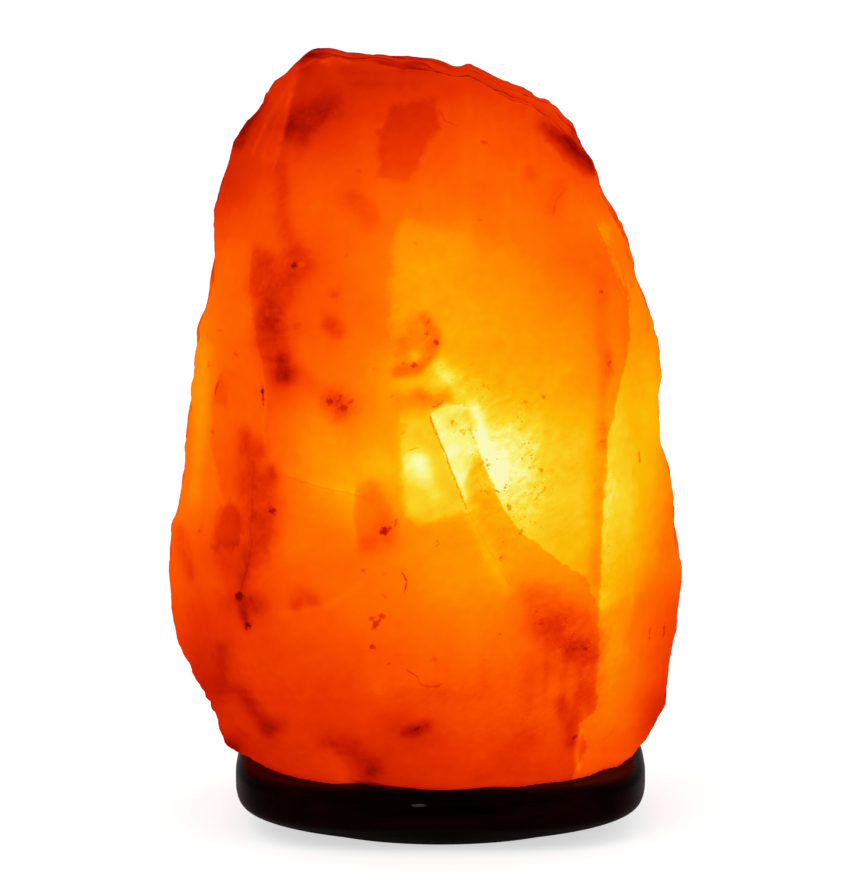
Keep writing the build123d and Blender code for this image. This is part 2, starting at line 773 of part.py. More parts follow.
with BuildPart() as filament:
    with BuildLine():
        coil_line = ThreePointArc(
            (-lead_spread, 0, filament_height + filament_radius),
            (0, 0, filament_height + filament_radius + lead_spread / 4),
            (lead_spread, 0, filament_height + filament_radius),
        )
    with BuildSketch(Plane(origin=coil_line @ 0, z_dir=coil_line % 0)):
        Circle(filament_radius)
    sweep(path=coil_line)
filament.part.label = "filament"
export_step(filament.part, "parts/filament.step")
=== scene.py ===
"""Looks of a salt crystal lamp: a block of glowing rock salt on an oval base of dark stained wood.

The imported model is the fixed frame. The block is hewn again here with its relief, and its glow,
inclusions and inner breaks are written on its points. The base is shaped as photographed, and the
springs and the filament are wound. Every other part keeps its own shape and gets its finish.
"""

from __future__ import annotations

import logging
import math
import random
from dataclasses import dataclass, field
from enum import Enum
from typing import Any, Callable, Sequence

import bpy
import numpy as np
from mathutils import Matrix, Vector

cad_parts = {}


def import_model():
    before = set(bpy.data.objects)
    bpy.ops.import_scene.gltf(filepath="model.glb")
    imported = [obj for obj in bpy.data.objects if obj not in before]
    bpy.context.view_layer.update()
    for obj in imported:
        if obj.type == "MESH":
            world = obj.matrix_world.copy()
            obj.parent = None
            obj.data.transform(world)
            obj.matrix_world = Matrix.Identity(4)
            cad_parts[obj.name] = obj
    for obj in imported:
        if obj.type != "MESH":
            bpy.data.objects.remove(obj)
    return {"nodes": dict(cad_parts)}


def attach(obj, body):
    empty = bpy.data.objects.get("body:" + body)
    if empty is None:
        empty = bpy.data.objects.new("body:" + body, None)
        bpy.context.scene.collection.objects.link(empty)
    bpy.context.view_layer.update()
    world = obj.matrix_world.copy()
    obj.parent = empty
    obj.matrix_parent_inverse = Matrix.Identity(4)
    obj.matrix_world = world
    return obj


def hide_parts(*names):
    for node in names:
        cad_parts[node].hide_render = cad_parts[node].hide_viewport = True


log = logging.getLogger("lamp")

MM = 0.001

Array = np.ndarray
Mesh = bpy.types.Mesh
Node = bpy.types.Node
Piece = bpy.types.Object
Socket = bpy.types.NodeSocket
Colour = tuple[float, float, float]
Place = tuple[float, float, float]
Points = list[tuple[float, float]]
Noise = tuple[float, float, float]  # clouds in a metre, finer layers and their share

FAR = 1e9  # farther than any place
OUT_OF_REACH = 50.0  # pixels past which an inclusion has no effect
TIE = 1e-6  # pixels within which two distances count as equal
WHITE = (1.0, 1.0, 1.0)


# ---------------------------------------------------------------------------
# The photograph's view
# ---------------------------------------------------------------------------


@dataclass(frozen=True)
class PhotoView:
    """The camera that took the photograph, in metres and in pixels of its frame."""

    frame_width: int = 867
    frame_height: int = 884
    sensor: float = 36.0
    elevation: float = 10.5
    distance: float = 1.40
    pixels_per_metre: float = 3416.7
    aim: Place = (-0.00205, 0.0, 0.1115)
    clip: tuple[float, float] = (0.05, 20.0)

    @property
    def focal_pixels(self) -> float:
        """Focal length in pixels of the frame."""
        return self.pixels_per_metre * self.distance

    @property
    def axes(self) -> tuple[Array, Array, Array]:
        """Unit vectors to the right, up and along the view."""
        slope = math.radians(self.elevation)
        right = np.array((1.0, 0.0, 0.0))
        up = np.array((0.0, math.sin(slope), math.cos(slope)))
        along = np.array((0.0, math.cos(slope), -math.sin(slope)))
        return right, up, along

    def to_pixels(self, points: Array) -> tuple[Array, Array]:
        """Where points of the object lie in the photograph.

        Args:
            points: Places in metres, one row each.

        Returns:
            Their pixel columns and rows.
        """
        right, up, along = self.axes
        offset = points - np.array(self.aim)
        scale = self.focal_pixels / (self.distance + offset @ along)
        across = self.frame_width / 2 + scale * (offset @ right)
        down = self.frame_height / 2 - scale * (offset @ up)
        return across, down

    def make_camera(self) -> None:
        """Adds the camera and makes it the scene's."""
        _, _, along = self.axes
        bpy.ops.object.camera_add(location=Vector(self.aim) - Vector(along) * self.distance)
        camera = bpy.context.object
        camera.name = "photo_camera"
        camera.rotation_mode = "QUATERNION"
        camera.rotation_quaternion = Vector(along).to_track_quat("-Z", "Y")
        longest = max(self.frame_width, self.frame_height)
        camera.data.sensor_width = self.sensor
        camera.data.lens = self.focal_pixels / longest * self.sensor
        camera.data.clip_start, camera.data.clip_end = self.clip
        bpy.context.scene.camera = camera


# ---------------------------------------------------------------------------
# Shader nodes
# ---------------------------------------------------------------------------


class SharedEffect(Enum):
    """Effects that several finishes share, one node group each."""

    MOTTLE = "mottle"
    SPECKS = "specks"
    SCUFFS = "scuffs"


Effects = dict[SharedEffect, bpy.types.NodeTree]


class Bench:
    """A shader tree with short ways to add and link its nodes."""

    def __init__(self, tree: bpy.types.NodeTree, effects: Effects | None = None) -> None:
        """Starts on a tree.

        Args:
            tree: The material's or the group's node tree.
            effects: The shared node groups, where the tree places them.
        """
        self.tree = tree
        self.effects = effects or {}

    def add(self, kind: str, **settings: Any) -> Node:
        """Adds a node.

        Args:
            kind: The node's type name, without the ShaderNode in front.
            settings: Its properties.

        Returns:
            The node.
        """
        node = self.tree.nodes.new("ShaderNode" + kind)
        for name, value in settings.items():
            setattr(node, name, value)
        return node

    def feed(self, target: Socket, value: Any) -> None:
        """Links a socket to an input, or sets the input to a plain value.

        Args:
            target: The input.
            value: A socket, a number, a vector or a colour.
        """
        if isinstance(value, bpy.types.NodeSocket):
            self.tree.links.new(value, target)
        elif target.type == "RGBA":
            target.default_value = (*value, 1.0)
        else:
            target.default_value = value

    def fill(self, node: Node, *first: Any, **named: Any) -> Node:
        """Feeds a node's inputs.

        Args:
            node: The node.
            first: What its first inputs get.
            named: What other inputs get, by name with _ for a space.

        Returns:
            The node.
        """
        for target, value in zip(node.inputs, first):
            self.feed(target, value)
        for name, value in named.items():
            self.feed(node.inputs[name.replace("_", " ")], value)
        return node

    def math(self, operation: str, a: Any, b: Any = 0.0, clamp: bool = False) -> Socket:
        """Works out one operation on two values.

        Args:
            operation: The Math node's operation.
            a: First value or socket.
            b: Second value or socket.
            clamp: Whether the result is kept between 0 and 1.

        Returns:
            The result's socket.
        """
        return self.fill(self.add("Math", operation=operation, use_clamp=clamp), a, b).outputs[0]

    def sum(self, *values: Any) -> Socket:
        """Adds up values or sockets."""
        total = values[0]
        for value in values[1:]:
            total = self.math("ADD", total, value)
        return total

    def times(self, *values: Any) -> Socket:
        """Multiplies values or sockets."""
        total = values[0]
        for value in values[1:]:
            total = self.math("MULTIPLY", total, value)
        return total

    def centred(self, value: Socket) -> Socket:
        """Lowers a value from 0 to 1 so that it lies about 0."""
        return self.math("SUBTRACT", value, 0.5)

    def vector(self, operation: str, a: Any, b: Any = (0.0, 0.0, 0.0)) -> Node:
        """Works out one operation on two vectors.

        Args:
            operation: The Vector Math node's operation.
            a: First vector or socket.
            b: Second vector or socket.

        Returns:
            The node.
        """
        return self.fill(self.add("VectorMath", operation=operation), a, b)

    def step(self, value: Any, low: float, high: float) -> Socket:
        """A smooth step from 0 at low to 1 at high."""
        node = self.add("MapRange", interpolation_type="SMOOTHSTEP", clamp=True)
        return self.fill(node, value, low, high).outputs["Result"]

    def mix(self, factor: Any, a: Any, b: Any, blend: str = "MIX") -> Socket:
        """Mixes two colours.

        Args:
            factor: Share of the second colour.
            a: First colour or socket.
            b: Second colour or socket.
            blend: The Mix node's blend type.

        Returns:
            The colour's socket.
        """
        node = self.fill(self.add("Mix", data_type="RGBA", blend_type=blend), factor)
        self.feed(node.inputs[6], a)
        self.feed(node.inputs[7], b)
        return node.outputs[2]

    def ramp(self, factor: Any, stops: Sequence[tuple[float, Colour]]) -> Socket:
        """A colour ramp.

        Args:
            factor: Place on the ramp.
            stops: Place and linear colour of each stop.

        Returns:
            The colour's socket.
        """
        node = self.fill(self.add("ValToRGB"), factor)
        elements = node.color_ramp.elements
        while len(elements) < len(stops):
            elements.new(0.5)
        for element, (place, colour) in zip(elements, stops):
            element.position = place
            element.color = (*colour, 1.0)
        return node.outputs["Color"]

    def places(self, scale: Place = (1.0, 1.0, 1.0), tilt: float = 0.0) -> Socket:
        """Object coordinates, turned about Y and then stretched.

        Args:
            scale: Share of each axis; a small share draws the pattern out along it.
            tilt: Degrees about the Y axis.

        Returns:
            The vector's socket.
        """
        turned = self.fill(
            self.add("Mapping"),
            self.add("TexCoord").outputs["Object"],
            Rotation=(0.0, math.radians(tilt), 0.0),
        )
        return self.vector("MULTIPLY", turned.outputs["Vector"], scale).outputs[0]

    def noise(
        self, vector: Any, scale: Any, detail: float = 3.0, rough: float = 0.5, warp: float = 0.0
    ) -> Socket:
        """Cloud noise from 0 to 1.

        Args:
            vector: Places.
            scale: Clouds in a metre.
            detail: Finer layers.
            rough: Share of the finer layers.
            warp: Distortion.

        Returns:
            The value's socket.
        """
        node = self.fill(
            self.add("TexNoise"),
            vector,
            Scale=scale,
            Detail=detail,
            Roughness=rough,
            Distortion=warp,
        )
        return node.outputs["Fac"]

    def stored(self, name: str) -> Socket:
        """A value stored on the mesh's points."""
        return self.add("Attribute", attribute_name=name).outputs["Fac"]

    def use(self, effect: SharedEffect, vector: Socket, **inputs: Any) -> Socket:
        """Places a shared effect with its own values.

        Args:
            effect: The effect.
            vector: Places.
            inputs: The group's other inputs by name.

        Returns:
            The effect's value.
        """
        node = self.add("Group", node_tree=self.effects[effect])
        return self.fill(node, vector, **inputs).outputs[0]

    def bump(self, height: Any, depth: float, strength: float) -> Socket:
        """Turns a height from 0 to 1 into a normal.

        Args:
            height: The height's socket.
            depth: Depth in millimetres of a height of 1.
            strength: Share of the effect.

        Returns:
            The normal's socket.
        """
        node = self.add("Bump")
        self.fill(node, Distance=depth * MM, Strength=strength, Height=height)
        return node.outputs["Normal"]


def start_group(name: str, inputs: dict[str, float], output: str) -> tuple[Bench, Node, Node]:
    """Starts a shared node group.

    Args:
        name: The group's name.
        inputs: Names and first values of its number inputs, after Vector.
        output: Name of its number output.

    Returns:
        The bench, the input node and the output node.
    """
    tree = bpy.data.node_groups.new(name, "ShaderNodeTree")
    tree.interface.new_socket("Vector", in_out="INPUT", socket_type="NodeSocketVector")
    for label, value in inputs.items():
        socket = tree.interface.new_socket(label, in_out="INPUT", socket_type="NodeSocketFloat")
        socket.default_value = value
    tree.interface.new_socket(output, in_out="OUTPUT", socket_type="NodeSocketFloat")
    return Bench(tree), tree.nodes.new("NodeGroupInput"), tree.nodes.new("NodeGroupOutput")


def build_mottle() -> bpy.types.NodeTree:
    """Builds broad and fine clouds together, about 0.5."""
    bench, given, made = start_group("mottle", {"Scale": 100.0, "Fine": 0.5}, "Value")
    vector, scale, fine_share = given.outputs[:3]
    broad = bench.noise(vector, scale, 2.0, 0.5)
    fine = bench.noise(vector, bench.times(scale, 5.3), 4.0, 0.6)
    bench.fill(made, bench.sum(broad, bench.times(bench.centred(fine), fine_share)))
    return bench.tree


def build_specks() -> bpy.types.NodeTree:
    """Builds small round specks, gathered in clouds."""
    inputs = {"Scale": 500.0, "Size": 0.25, "Crowd": 0.5}
    bench, given, made = start_group("specks", inputs, "Mask")
    vector, scale, size, crowd = given.outputs[:4]
    cells = bench.add("TexVoronoi", feature="F1")
    bench.fill(cells, vector, Scale=scale, Randomness=1.0)
    cloud = bench.noise(vector, bench.times(scale, 0.13), 2.0, 0.6)
    reach = bench.times(bench.math("SUBTRACT", cloud, crowd), 4.0)
    grown = bench.times(size, bench.math("MINIMUM", reach, 1.0))
    inside_by = bench.math("SUBTRACT", grown, cells.outputs["Distance"])
    bench.fill(made, bench.step(inside_by, -0.03, 0.05))
    return bench.tree


def build_scuffs() -> bpy.types.NodeTree:
    """Builds fine lines of handling, drawn out along X."""
    bench, given, made = start_group("scuffs", {"Scale": 60.0, "Amount": 0.5}, "Mask")
    vector, scale, amount = given.outputs[:3]
    stretched = bench.vector("MULTIPLY", vector, (0.12, 1.0, 1.0)).outputs[0]
    lines = bench.noise(stretched, bench.times(scale, 12.0), 3.0, 0.7)
    area = bench.noise(vector, scale, 2.0, 0.5)
    worn = bench.times(bench.step(lines, 0.52, 0.70), bench.step(area, 0.42, 0.62))
    bench.fill(made, bench.times(worn, amount))
    return bench.tree


class BreakKind(Enum):
    """Kinds of inner break: name, raggedness and softness of the edge in pixels."""

    CRACK = ("crack", 3.0, 1.2)
    LEDGE = ("ledge", 9.0, 1.4)
    CREASE = ("crease", 7.0, 1.7)
    RIM = ("rim", 6.0, 2.6)
    VEIL = ("veil", 12.0, 6.0)

    def __init__(self, label: str, rough: float, blur: float) -> None:
        """Names the kind's channels and sets its edge."""
        self.label = label
        self.rough = rough
        self.blur = blur


# ---------------------------------------------------------------------------
# Finishes
# ---------------------------------------------------------------------------


class Finish:
    """A material of the lamp. Each kind of finish lays its own shader."""

    name: str

    def make(self, effects: Effects) -> bpy.types.Material:
        """Makes the material.

        Args:
            effects: The shared node groups.

        Returns:
            The finished material.
        """
        material = bpy.data.materials.new(self.name)
        material.use_nodes = True
        nodes = material.node_tree.nodes
        self.lay(Bench(material.node_tree, effects), nodes["Principled BSDF"])
        return material

    def lay(self, bench: Bench, shader: Node) -> None:
        """Feeds the Principled shader."""
        raise NotImplementedError


@dataclass(frozen=True)
class SaltFinish(Finish):
    """Rock salt lit from inside. The block's points store how brightly each place glows."""

    name: str = "rock_salt_glowing"
    # Colour of the glow from the dimmest place to the brightest, linear
    glow_stops: tuple[tuple[float, Colour], ...] = (
        (0.00, (0.220, 0.0022, 0.0003)),
        (0.15, (0.560, 0.0110, 0.0004)),
        (0.30, (0.800, 0.0340, 0.0004)),
        (0.45, (0.965, 0.0860, 0.0003)),
        (0.60, (0.975, 0.1690, 0.0003)),
        (0.72, (0.985, 0.3000, 0.0004)),
        (0.82, (0.960, 0.4800, 0.0016)),
        (0.90, (0.945, 0.6900, 0.0220)),
        (0.96, (0.955, 0.9000, 0.2000)),
        (1.00, (0.960, 0.9500, 0.4800)),
    )
    glow_strength: float = 0.95
    skin: Colour = (0.08, 0.064, 0.024)  # share of the glow's colour that the surface has
    dusty: Colour = (0.55, 0.47, 0.30)
    fine_rag: Noise = (420.0, 4.0, 0.62)
    broad_rag: Noise = (130.0, 2.0, 0.5)
    crumb: Noise = (850.0, 3.0, 0.6)
    layer: Noise = (150.0, 3.0, 0.5)
    streak: Noise = (90.0, 3.0, 0.5)
    dust: Noise = (700.0, 3.0, 0.7)
    grain: Noise = (900.0, 5.0, 0.65)
    speck_scale: float = 900.0
    edge_dimming: float = 0.34

    def lay(self, bench: Bench, shader: Node) -> None:
        """Lays the salt's shader.

        Args:
            bench: The material's tree.
            shader: Its Principled shader.
        """
        places = bench.places()
        broad_rag = bench.centred(bench.noise(places, *self.broad_rag))
        ragged = bench.sum(bench.centred(bench.noise(places, *self.fine_rag)), broad_rag)
        crumbs = bench.centred(bench.noise(places, *self.crumb))
        clouds = bench.use(SharedEffect.MOTTLE, places, Scale=125.0, Fine=0.55)
        pit = self.pits(bench, crumbs, ragged)
        clots = bench.sum(0.60, bench.times(bench.step(clouds, 0.20, 0.80), 0.62))
        # The stored stain holds stains, and painted shade along the block's top edge
        stain = bench.times(bench.stored("stain"), clots)
        hairline = self.hairlines(bench, bench.sum(crumbs, broad_rag), ragged)

        # The salt's own fine grit
        here = bench.stored("grit")
        size = bench.sum(0.20, bench.times(here, 0.20))
        specks = bench.use(
            SharedEffect.SPECKS, places, Scale=self.speck_scale, Size=size, Crowd=0.40
        )
        powder = bench.centred(bench.noise(bench.places((0.5, 0.6, 1.0), 35.0), *self.dust))
        grit = bench.sum(
            bench.times(specks, bench.sum(0.015, bench.times(here, 0.10))),
            bench.times(powder, bench.sum(0.018, bench.times(here, 0.20))),
        )
        lifts = self.breaks(bench, ragged)
        level = bench.sum(bench.stored("glow"), *lifts, self.cloudiness(bench, places))
        dark = bench.sum(stain, pit, hairline, grit)

        # Painted shade: thin edges of the block, seen along their surface, are darkened
        facing = bench.fill(bench.add("LayerWeight"), 0.5).outputs["Facing"]
        edge_shade = bench.times(bench.step(facing, 0.88, 1.0), self.edge_dimming)
        index = bench.math("SUBTRACT", level, bench.sum(dark, edge_shade), clamp=True)
        glow = bench.ramp(index, self.glow_stops)
        greyed = bench.times(specks, here, bench.step(level, 0.84, 0.95), 0.7)
        colour = bench.mix(greyed, glow, self.dusty, "MULTIPLY")

        grain = bench.noise(places, *self.grain)
        relief = bench.sum(bench.times(grain, 0.5), bench.times(clouds, 0.8))
        bench.fill(
            shader,
            Emission_Color=colour,
            Emission_Strength=self.glow_strength,
            Base_Color=bench.mix(1.0, colour, self.skin, "MULTIPLY"),
            Roughness=bench.sum(0.42, bench.times(grain, 0.3)),
            Normal=bench.bump(bench.sum(relief, bench.times(pit, -1.5)), 0.9, 0.6),
            Specular_IOR_Level=0.0,
        )

    def breaks(self, bench: Bench, ragged: Socket) -> list[Socket]:
        """Inner breaks and patches, where light jumps at a ragged line.

        Args:
            bench: The material's tree.
            ragged: Noise that makes the lines ragged.

        Returns:
            Each kind's share of the glow.
        """
        edges = [(kind.label, kind.rough, -kind.blur, kind.blur) for kind in BreakKind]
        lifts = []
        for label, rough, low, high in [*edges, ("patch", 12.0, -4.0, 5.0)]:
            edge = bench.sum(bench.stored(label + "_side"), bench.times(ragged, rough))
            lifts.append(bench.times(bench.stored(label + "_lift"), bench.step(edge, low, high)))
        return lifts

    def pits(self, bench: Bench, crumbs: Socket, ragged: Socket) -> Socket:
        """Pits with ragged rims.

        Args:
            bench: The material's tree.
            crumbs: Fine noise.
            ragged: Broader noise.

        Returns:
            How much darker each place is for them.
        """
        rag = (bench.times(crumbs, 9.0), bench.times(ragged, 4.0))
        rim = bench.step(bench.sum(bench.stored("pit"), *rag), -1.2, 2.2)
        return bench.times(rim, bench.stored("pit_depth"))

    def hairlines(self, bench: Bench, wear: Socket, ragged: Socket) -> Socket:
        """Hairlines, faint in places.

        Args:
            bench: The material's tree.
            wear: Noise that makes them faint.
            ragged: Noise that makes them ragged.

        Returns:
            How much darker each place is for them.
        """
        side = bench.sum(bench.stored("hairline_side"), bench.times(ragged, 5.0))
        line = bench.step(bench.math("ABSOLUTE", side), 1.5, 0.2)
        worn = bench.sum(0.4, bench.times(bench.step(wear, -0.16, 0.05), 0.6))
        return bench.times(line, worn, bench.stored("hairline_depth"))

    def cloudiness(self, bench: Bench, places: Socket) -> Socket:
        """Cloudiness, layers and streaks of the salt itself.

        Args:
            bench: The material's tree.
            places: Object coordinates.

        Returns:
            Their share of the glow.
        """
        body = bench.use(SharedEffect.MOTTLE, places, Scale=34.0, Fine=0.07)
        layers = bench.noise(bench.places((0.22, 0.35, 1.0), 14.0), *self.layer)
        streaks = bench.noise(bench.places((1.0, 0.6, 0.14), -6.0), *self.streak)
        shares = ((body, 0.18), (layers, 0.04), (streaks, 0.06))
        return bench.sum(*(bench.times(bench.centred(value), share) for value, share in shares))


@dataclass(frozen=True)
class WoodFinish(Finish):
    """Close-grained wood under a dark stain, with one small painted highlight at the front, where
    the varnish is also rougher.
    """

    name: str = "stained_wood_dark"
    pore: Colour = (0.0010, 0.0001, 0.0001)
    field_colour: Colour = (0.0050, 0.0003, 0.0003)
    light_band: Colour = (0.0110, 0.0006, 0.0005)
    # Lighter colour of the painted highlight at the front
    painted_highlight: Colour = (0.055, 0.042, 0.040)
    gloss_tint: Colour = (0.60, 0.10, 0.10)
    gloss: float = 0.02
    ring: tuple[float, ...] = (102.0, 4.0, 0.6, 0.5)
    fibre: Noise = (1400.0, 3.0, 0.7)
    pores: Noise = (900.0, 2.0, 0.5)
    crumb: Noise = (1200.0, 3.0, 0.6)
    scuff_and_highlight_place: Place = (-6.2, -50.5, 15.2)
    scuff_and_highlight_size: Place = (2.0, 6.0, 0.42)

    def lay(self, bench: Bench, shader: Node) -> None:
        """Lays the wood's shader, its grain along X.

        Args:
            bench: The material's tree.
            shader: Its Principled shader.
        """
        bands = bench.noise(bench.places((0.10, 1.0, 0.8)), *self.ring)
        fibre = bench.noise(bench.places((0.03, 1.0, 1.0)), *self.fibre)
        pores = bench.step(bench.noise(bench.places((0.05, 1.0, 1.0)), *self.pores), 0.60, 0.68)
        scuffs = bench.use(SharedEffect.SCUFFS, bench.places(), Scale=40.0, Amount=0.6)
        tone = bench.ramp(
            bench.sum(bands, bench.times(bench.centred(fibre), 0.35)),
            [(0.30, self.pore), (0.52, self.field_colour), (0.80, self.light_band)],
        )
        grained = bench.mix(bench.times(pores, 0.7), tone, self.pore)

        # A painted highlight: a lighter oval about its place, broken up by the fibre, where the
        # varnish is also rougher
        away = bench.vector("SUBTRACT", bench.places(), Vector(self.scuff_and_highlight_place) * MM)
        sized = bench.vector("DIVIDE", away.outputs[0], Vector(self.scuff_and_highlight_size) * MM)
        length = bench.vector("LENGTH", sized.outputs[0]).outputs["Value"]
        crumbs = bench.noise(bench.places((0.4, 1.0, 1.0)), *self.crumb)
        scuff_and_highlight = bench.step(bench.sum(length, bench.times(crumbs, 1.6)), 2.1, 1.3)

        rough = (bench.times(fibre, 0.12), bench.times(scuffs, 0.25), bench.times(scuff_and_highlight, 0.3))
        height = (bench.times(fibre, 0.4), bench.times(pores, -0.6), bench.times(bands, 0.5))
        bench.fill(
            shader,
            Base_Color=bench.mix(scuff_and_highlight, grained, self.painted_highlight),
            Roughness=bench.sum(0.26, *rough),
            Normal=bench.bump(bench.sum(*height), 0.12, 0.5),
            Specular_IOR_Level=self.gloss,
            Specular_Tint=self.gloss_tint,
        )


@dataclass(frozen=True)
class MetalFinish(Finish):
    """Sheet or turned metal with fine lines, dull patches and its own tone."""

    name: str
    colour: Colour
    dull: Colour
    roughness: float = 0.32
    line_scale: float = 900.0
    line_stretch: Place = (1.0, 1.0, 0.08)

    def lay(self, bench: Bench, shader: Node) -> None:
        """Lays the metal's shader.

        Args:
            bench: The material's tree.
            shader: Its Principled shader.
        """
        places = bench.places()
        lines = bench.noise(bench.places(self.line_stretch), self.line_scale, 3.0, 0.6)
        patches = bench.use(SharedEffect.MOTTLE, places, Scale=220.0, Fine=0.8)
        scuffs = bench.use(SharedEffect.SCUFFS, places, Scale=90.0, Amount=0.8)
        dulled = bench.step(patches, 0.48, 0.75)
        rough = (
            bench.times(dulled, 0.22),
            bench.times(bench.centred(lines), 0.2),
            bench.times(scuffs, 0.15),
        )
        bench.fill(
            shader,
            Base_Color=bench.mix(dulled, self.colour, self.dull),
            Roughness=bench.sum(self.roughness, *rough),
            Normal=bench.bump(lines, 0.02, 0.5),
            Metallic=1.0,
        )


@dataclass(frozen=True)
class MouldedFinish(Finish):
    """Moulded plastic, rubber or fired ceramic: a fine orange-peel skin, specks and dust."""

    name: str
    colour: Colour
    shade: Colour
    roughness: float = 0.4
    skin_depth: float = 0.03
    speck_share: float = 0.2

    def lay(self, bench: Bench, shader: Node) -> None:
        """Lays the moulded skin's shader.

        Args:
            bench: The material's tree.
            shader: Its Principled shader.
        """
        places = bench.places()
        mottle = bench.use(SharedEffect.MOTTLE, places, Scale=160.0, Fine=0.7)
        specks = bench.use(SharedEffect.SPECKS, places, Scale=1100.0, Size=0.28, Crowd=0.48)
        scuffs = bench.use(SharedEffect.SCUFFS, places, Scale=120.0, Amount=0.5)
        tone = bench.mix(bench.step(mottle, 0.3, 0.75), self.colour, self.shade)
        skin = bench.noise(places, 1500.0, 2.0, 0.5)
        rough = (bench.times(skin, 0.08), bench.times(scuffs, 0.2))
        bench.fill(
            shader,
            Base_Color=bench.mix(bench.times(specks, self.speck_share), tone, self.shade),
            Roughness=bench.sum(self.roughness, *rough),
            Normal=bench.bump(skin, self.skin_depth, 0.6),
            Specular_IOR_Level=0.5,
        )


@dataclass(frozen=True)
class GlassFinish(Finish):
    """Clear blown glass with faint draw lines."""

    name: str = "bulb_glass_clear"
    tint: Colour = (0.98, 0.98, 0.96)
    line_tint: Colour = (0.94, 0.95, 0.93)

    def lay(self, bench: Bench, shader: Node) -> None:
        """Lays the glass's shader.

        Args:
            bench: The material's tree.
            shader: Its Principled shader.
        """
        waves = bench.noise(bench.places((1.0, 1.0, 0.2)), 90.0, 2.0, 0.5)
        places = bench.places()
        dust = bench.use(SharedEffect.SPECKS, places, Scale=1500.0, Size=0.2, Crowd=0.55)
        bench.fill(
            shader,
            Base_Color=bench.mix(waves, self.tint, self.line_tint),
            Roughness=bench.sum(0.02, bench.times(dust, 0.25)),
            Normal=bench.bump(waves, 0.05, 0.3),
            Transmission_Weight=1.0,
            IOR=1.5,
        )


@dataclass(frozen=True)
class FilamentFinish(Finish):
    """Hot tungsten wire, brightest in the middle of its length."""

    name: str = "tungsten_hot"
    half_length: float = 7.0
    strength: float = 14.0
    cold: Colour = (0.10, 0.09, 0.08)
    hot: Colour = (0.5, 0.4, 0.3)
    glow_stops: tuple[tuple[float, Colour], ...] = (
        (0.0, (0.5, 0.06, 0.005)),
        (0.5, (1.0, 0.45, 0.10)),
        (1.0, (1.0, 0.80, 0.42)),
    )

    def lay(self, bench: Bench, shader: Node) -> None:
        """Lays the hot wire's shader.

        Args:
            bench: The material's tree.
            shader: Its Principled shader.
        """
        across = bench.fill(bench.add("SeparateXYZ"), bench.places()).outputs["X"]
        outward = bench.math("ABSOLUTE", bench.times(across, 1.0 / (self.half_length * MM)))
        flicker = bench.noise(bench.places(), 2000.0, 1.0, 0.5)
        warm = bench.step(outward, 1.05, 0.6)
        heat = bench.math("SUBTRACT", warm, bench.times(flicker, 0.2), clamp=True)
        bench.fill(
            shader,
            Emission_Color=bench.ramp(heat, self.glow_stops),
            Emission_Strength=self.strength,
            Base_Color=bench.mix(heat, self.cold, self.hot),
            Roughness=bench.sum(0.4, bench.times(flicker, 0.2)),
            Metallic=1.0,
        )


# ---------------------------------------------------------------------------
# Modelling helpers
# ---------------------------------------------------------------------------


def select_only(piece: Piece) -> None:
    """Deselects everything else and makes the piece active."""
    bpy.ops.object.select_all(action="DESELECT")
    piece.select_set(True)
    bpy.context.view_layer.objects.active = piece


def shade_smooth(piece: Piece, degrees: float) -> None:
    """Shades a piece smoothly, apart from edges sharper than an angle."""
    select_only(piece)
    bpy.ops.object.shade_smooth_by_angle(angle=math.radians(degrees))


def apply_modifier(piece: Piece, kind: str, **settings: Any) -> None:
    """Adds a modifier with its settings and applies it.

    Args:
        piece: The mesh object.
        kind: The modifier's type.
        settings: Its properties.
    """
    select_only(piece)
    modifier = piece.modifiers.new(kind.lower(), kind)
    for name, value in settings.items():
        setattr(modifier, name, value)
    bpy.ops.object.modifier_apply(modifier=modifier.name)


def read_points(mesh: Mesh, what: str = "co") -> Array:
    """The places of a mesh's points in metres, or another vector of theirs, one row each."""
    flat = np.empty(len(mesh.vertices) * 3, np.float32)
    mesh.vertices.foreach_get(what, flat)
    return flat.reshape(-1, 3).astype(float)


def move_points(mesh: Mesh, places: Array) -> None:
    """Puts the mesh's points at new places in metres."""
    mesh.vertices.foreach_set("co", places.astype(np.float32).ravel())
    mesh.update()


def store(mesh: Mesh, name: str, values: Array) -> None:
    """Stores one number on each point, under the attribute's name."""
    attribute = mesh.attributes.get(name) or mesh.attributes.new(name, "FLOAT", "POINT")
    attribute.data.foreach_set("value", values.astype(np.float32))


def copy_of(source: Piece, name: str) -> Piece:
    """Copies one of the frame's solids as a new, closed mesh.

    Args:
        source: The frame's part.
        name: The new piece's name.

    Returns:
        The new piece, its points merged.
    """
    piece = bpy.data.objects.new(name, source.data.copy())
    bpy.context.scene.collection.objects.link(piece)
    select_only(piece)
    bpy.ops.object.mode_set(mode="EDIT")
    bpy.ops.mesh.select_all(action="SELECT")
    bpy.ops.mesh.remove_doubles(threshold=0.005 * MM)
    bpy.ops.object.mode_set(mode="OBJECT")
    return piece


def bent_wire(name: str, path: Sequence[Place], radius: float) -> Piece:
    """Makes a round wire along a path.

    Args:
        name: The new piece's name.
        path: Its middle line, in millimetres.
        radius: Half its thickness, in millimetres.

    Returns:
        The wire, as a mesh.
    """
    line = bpy.data.curves.new(name, "CURVE")
    line.dimensions = "3D"
    spline = line.splines.new("POLY")
    spline.points.add(len(path) - 1)
    for point, place in zip(spline.points, path):
        point.co = (*(Vector(place) * MM), 1.0)
    line.bevel_depth = radius * MM
    line.bevel_resolution = 2
    line.use_fill_caps = True
    wire = bpy.data.objects.new(name, line)
    bpy.context.scene.collection.objects.link(wire)
    select_only(wire)
    bpy.ops.object.convert(target="MESH")
    shade_smooth(wire, 50)
    return wire


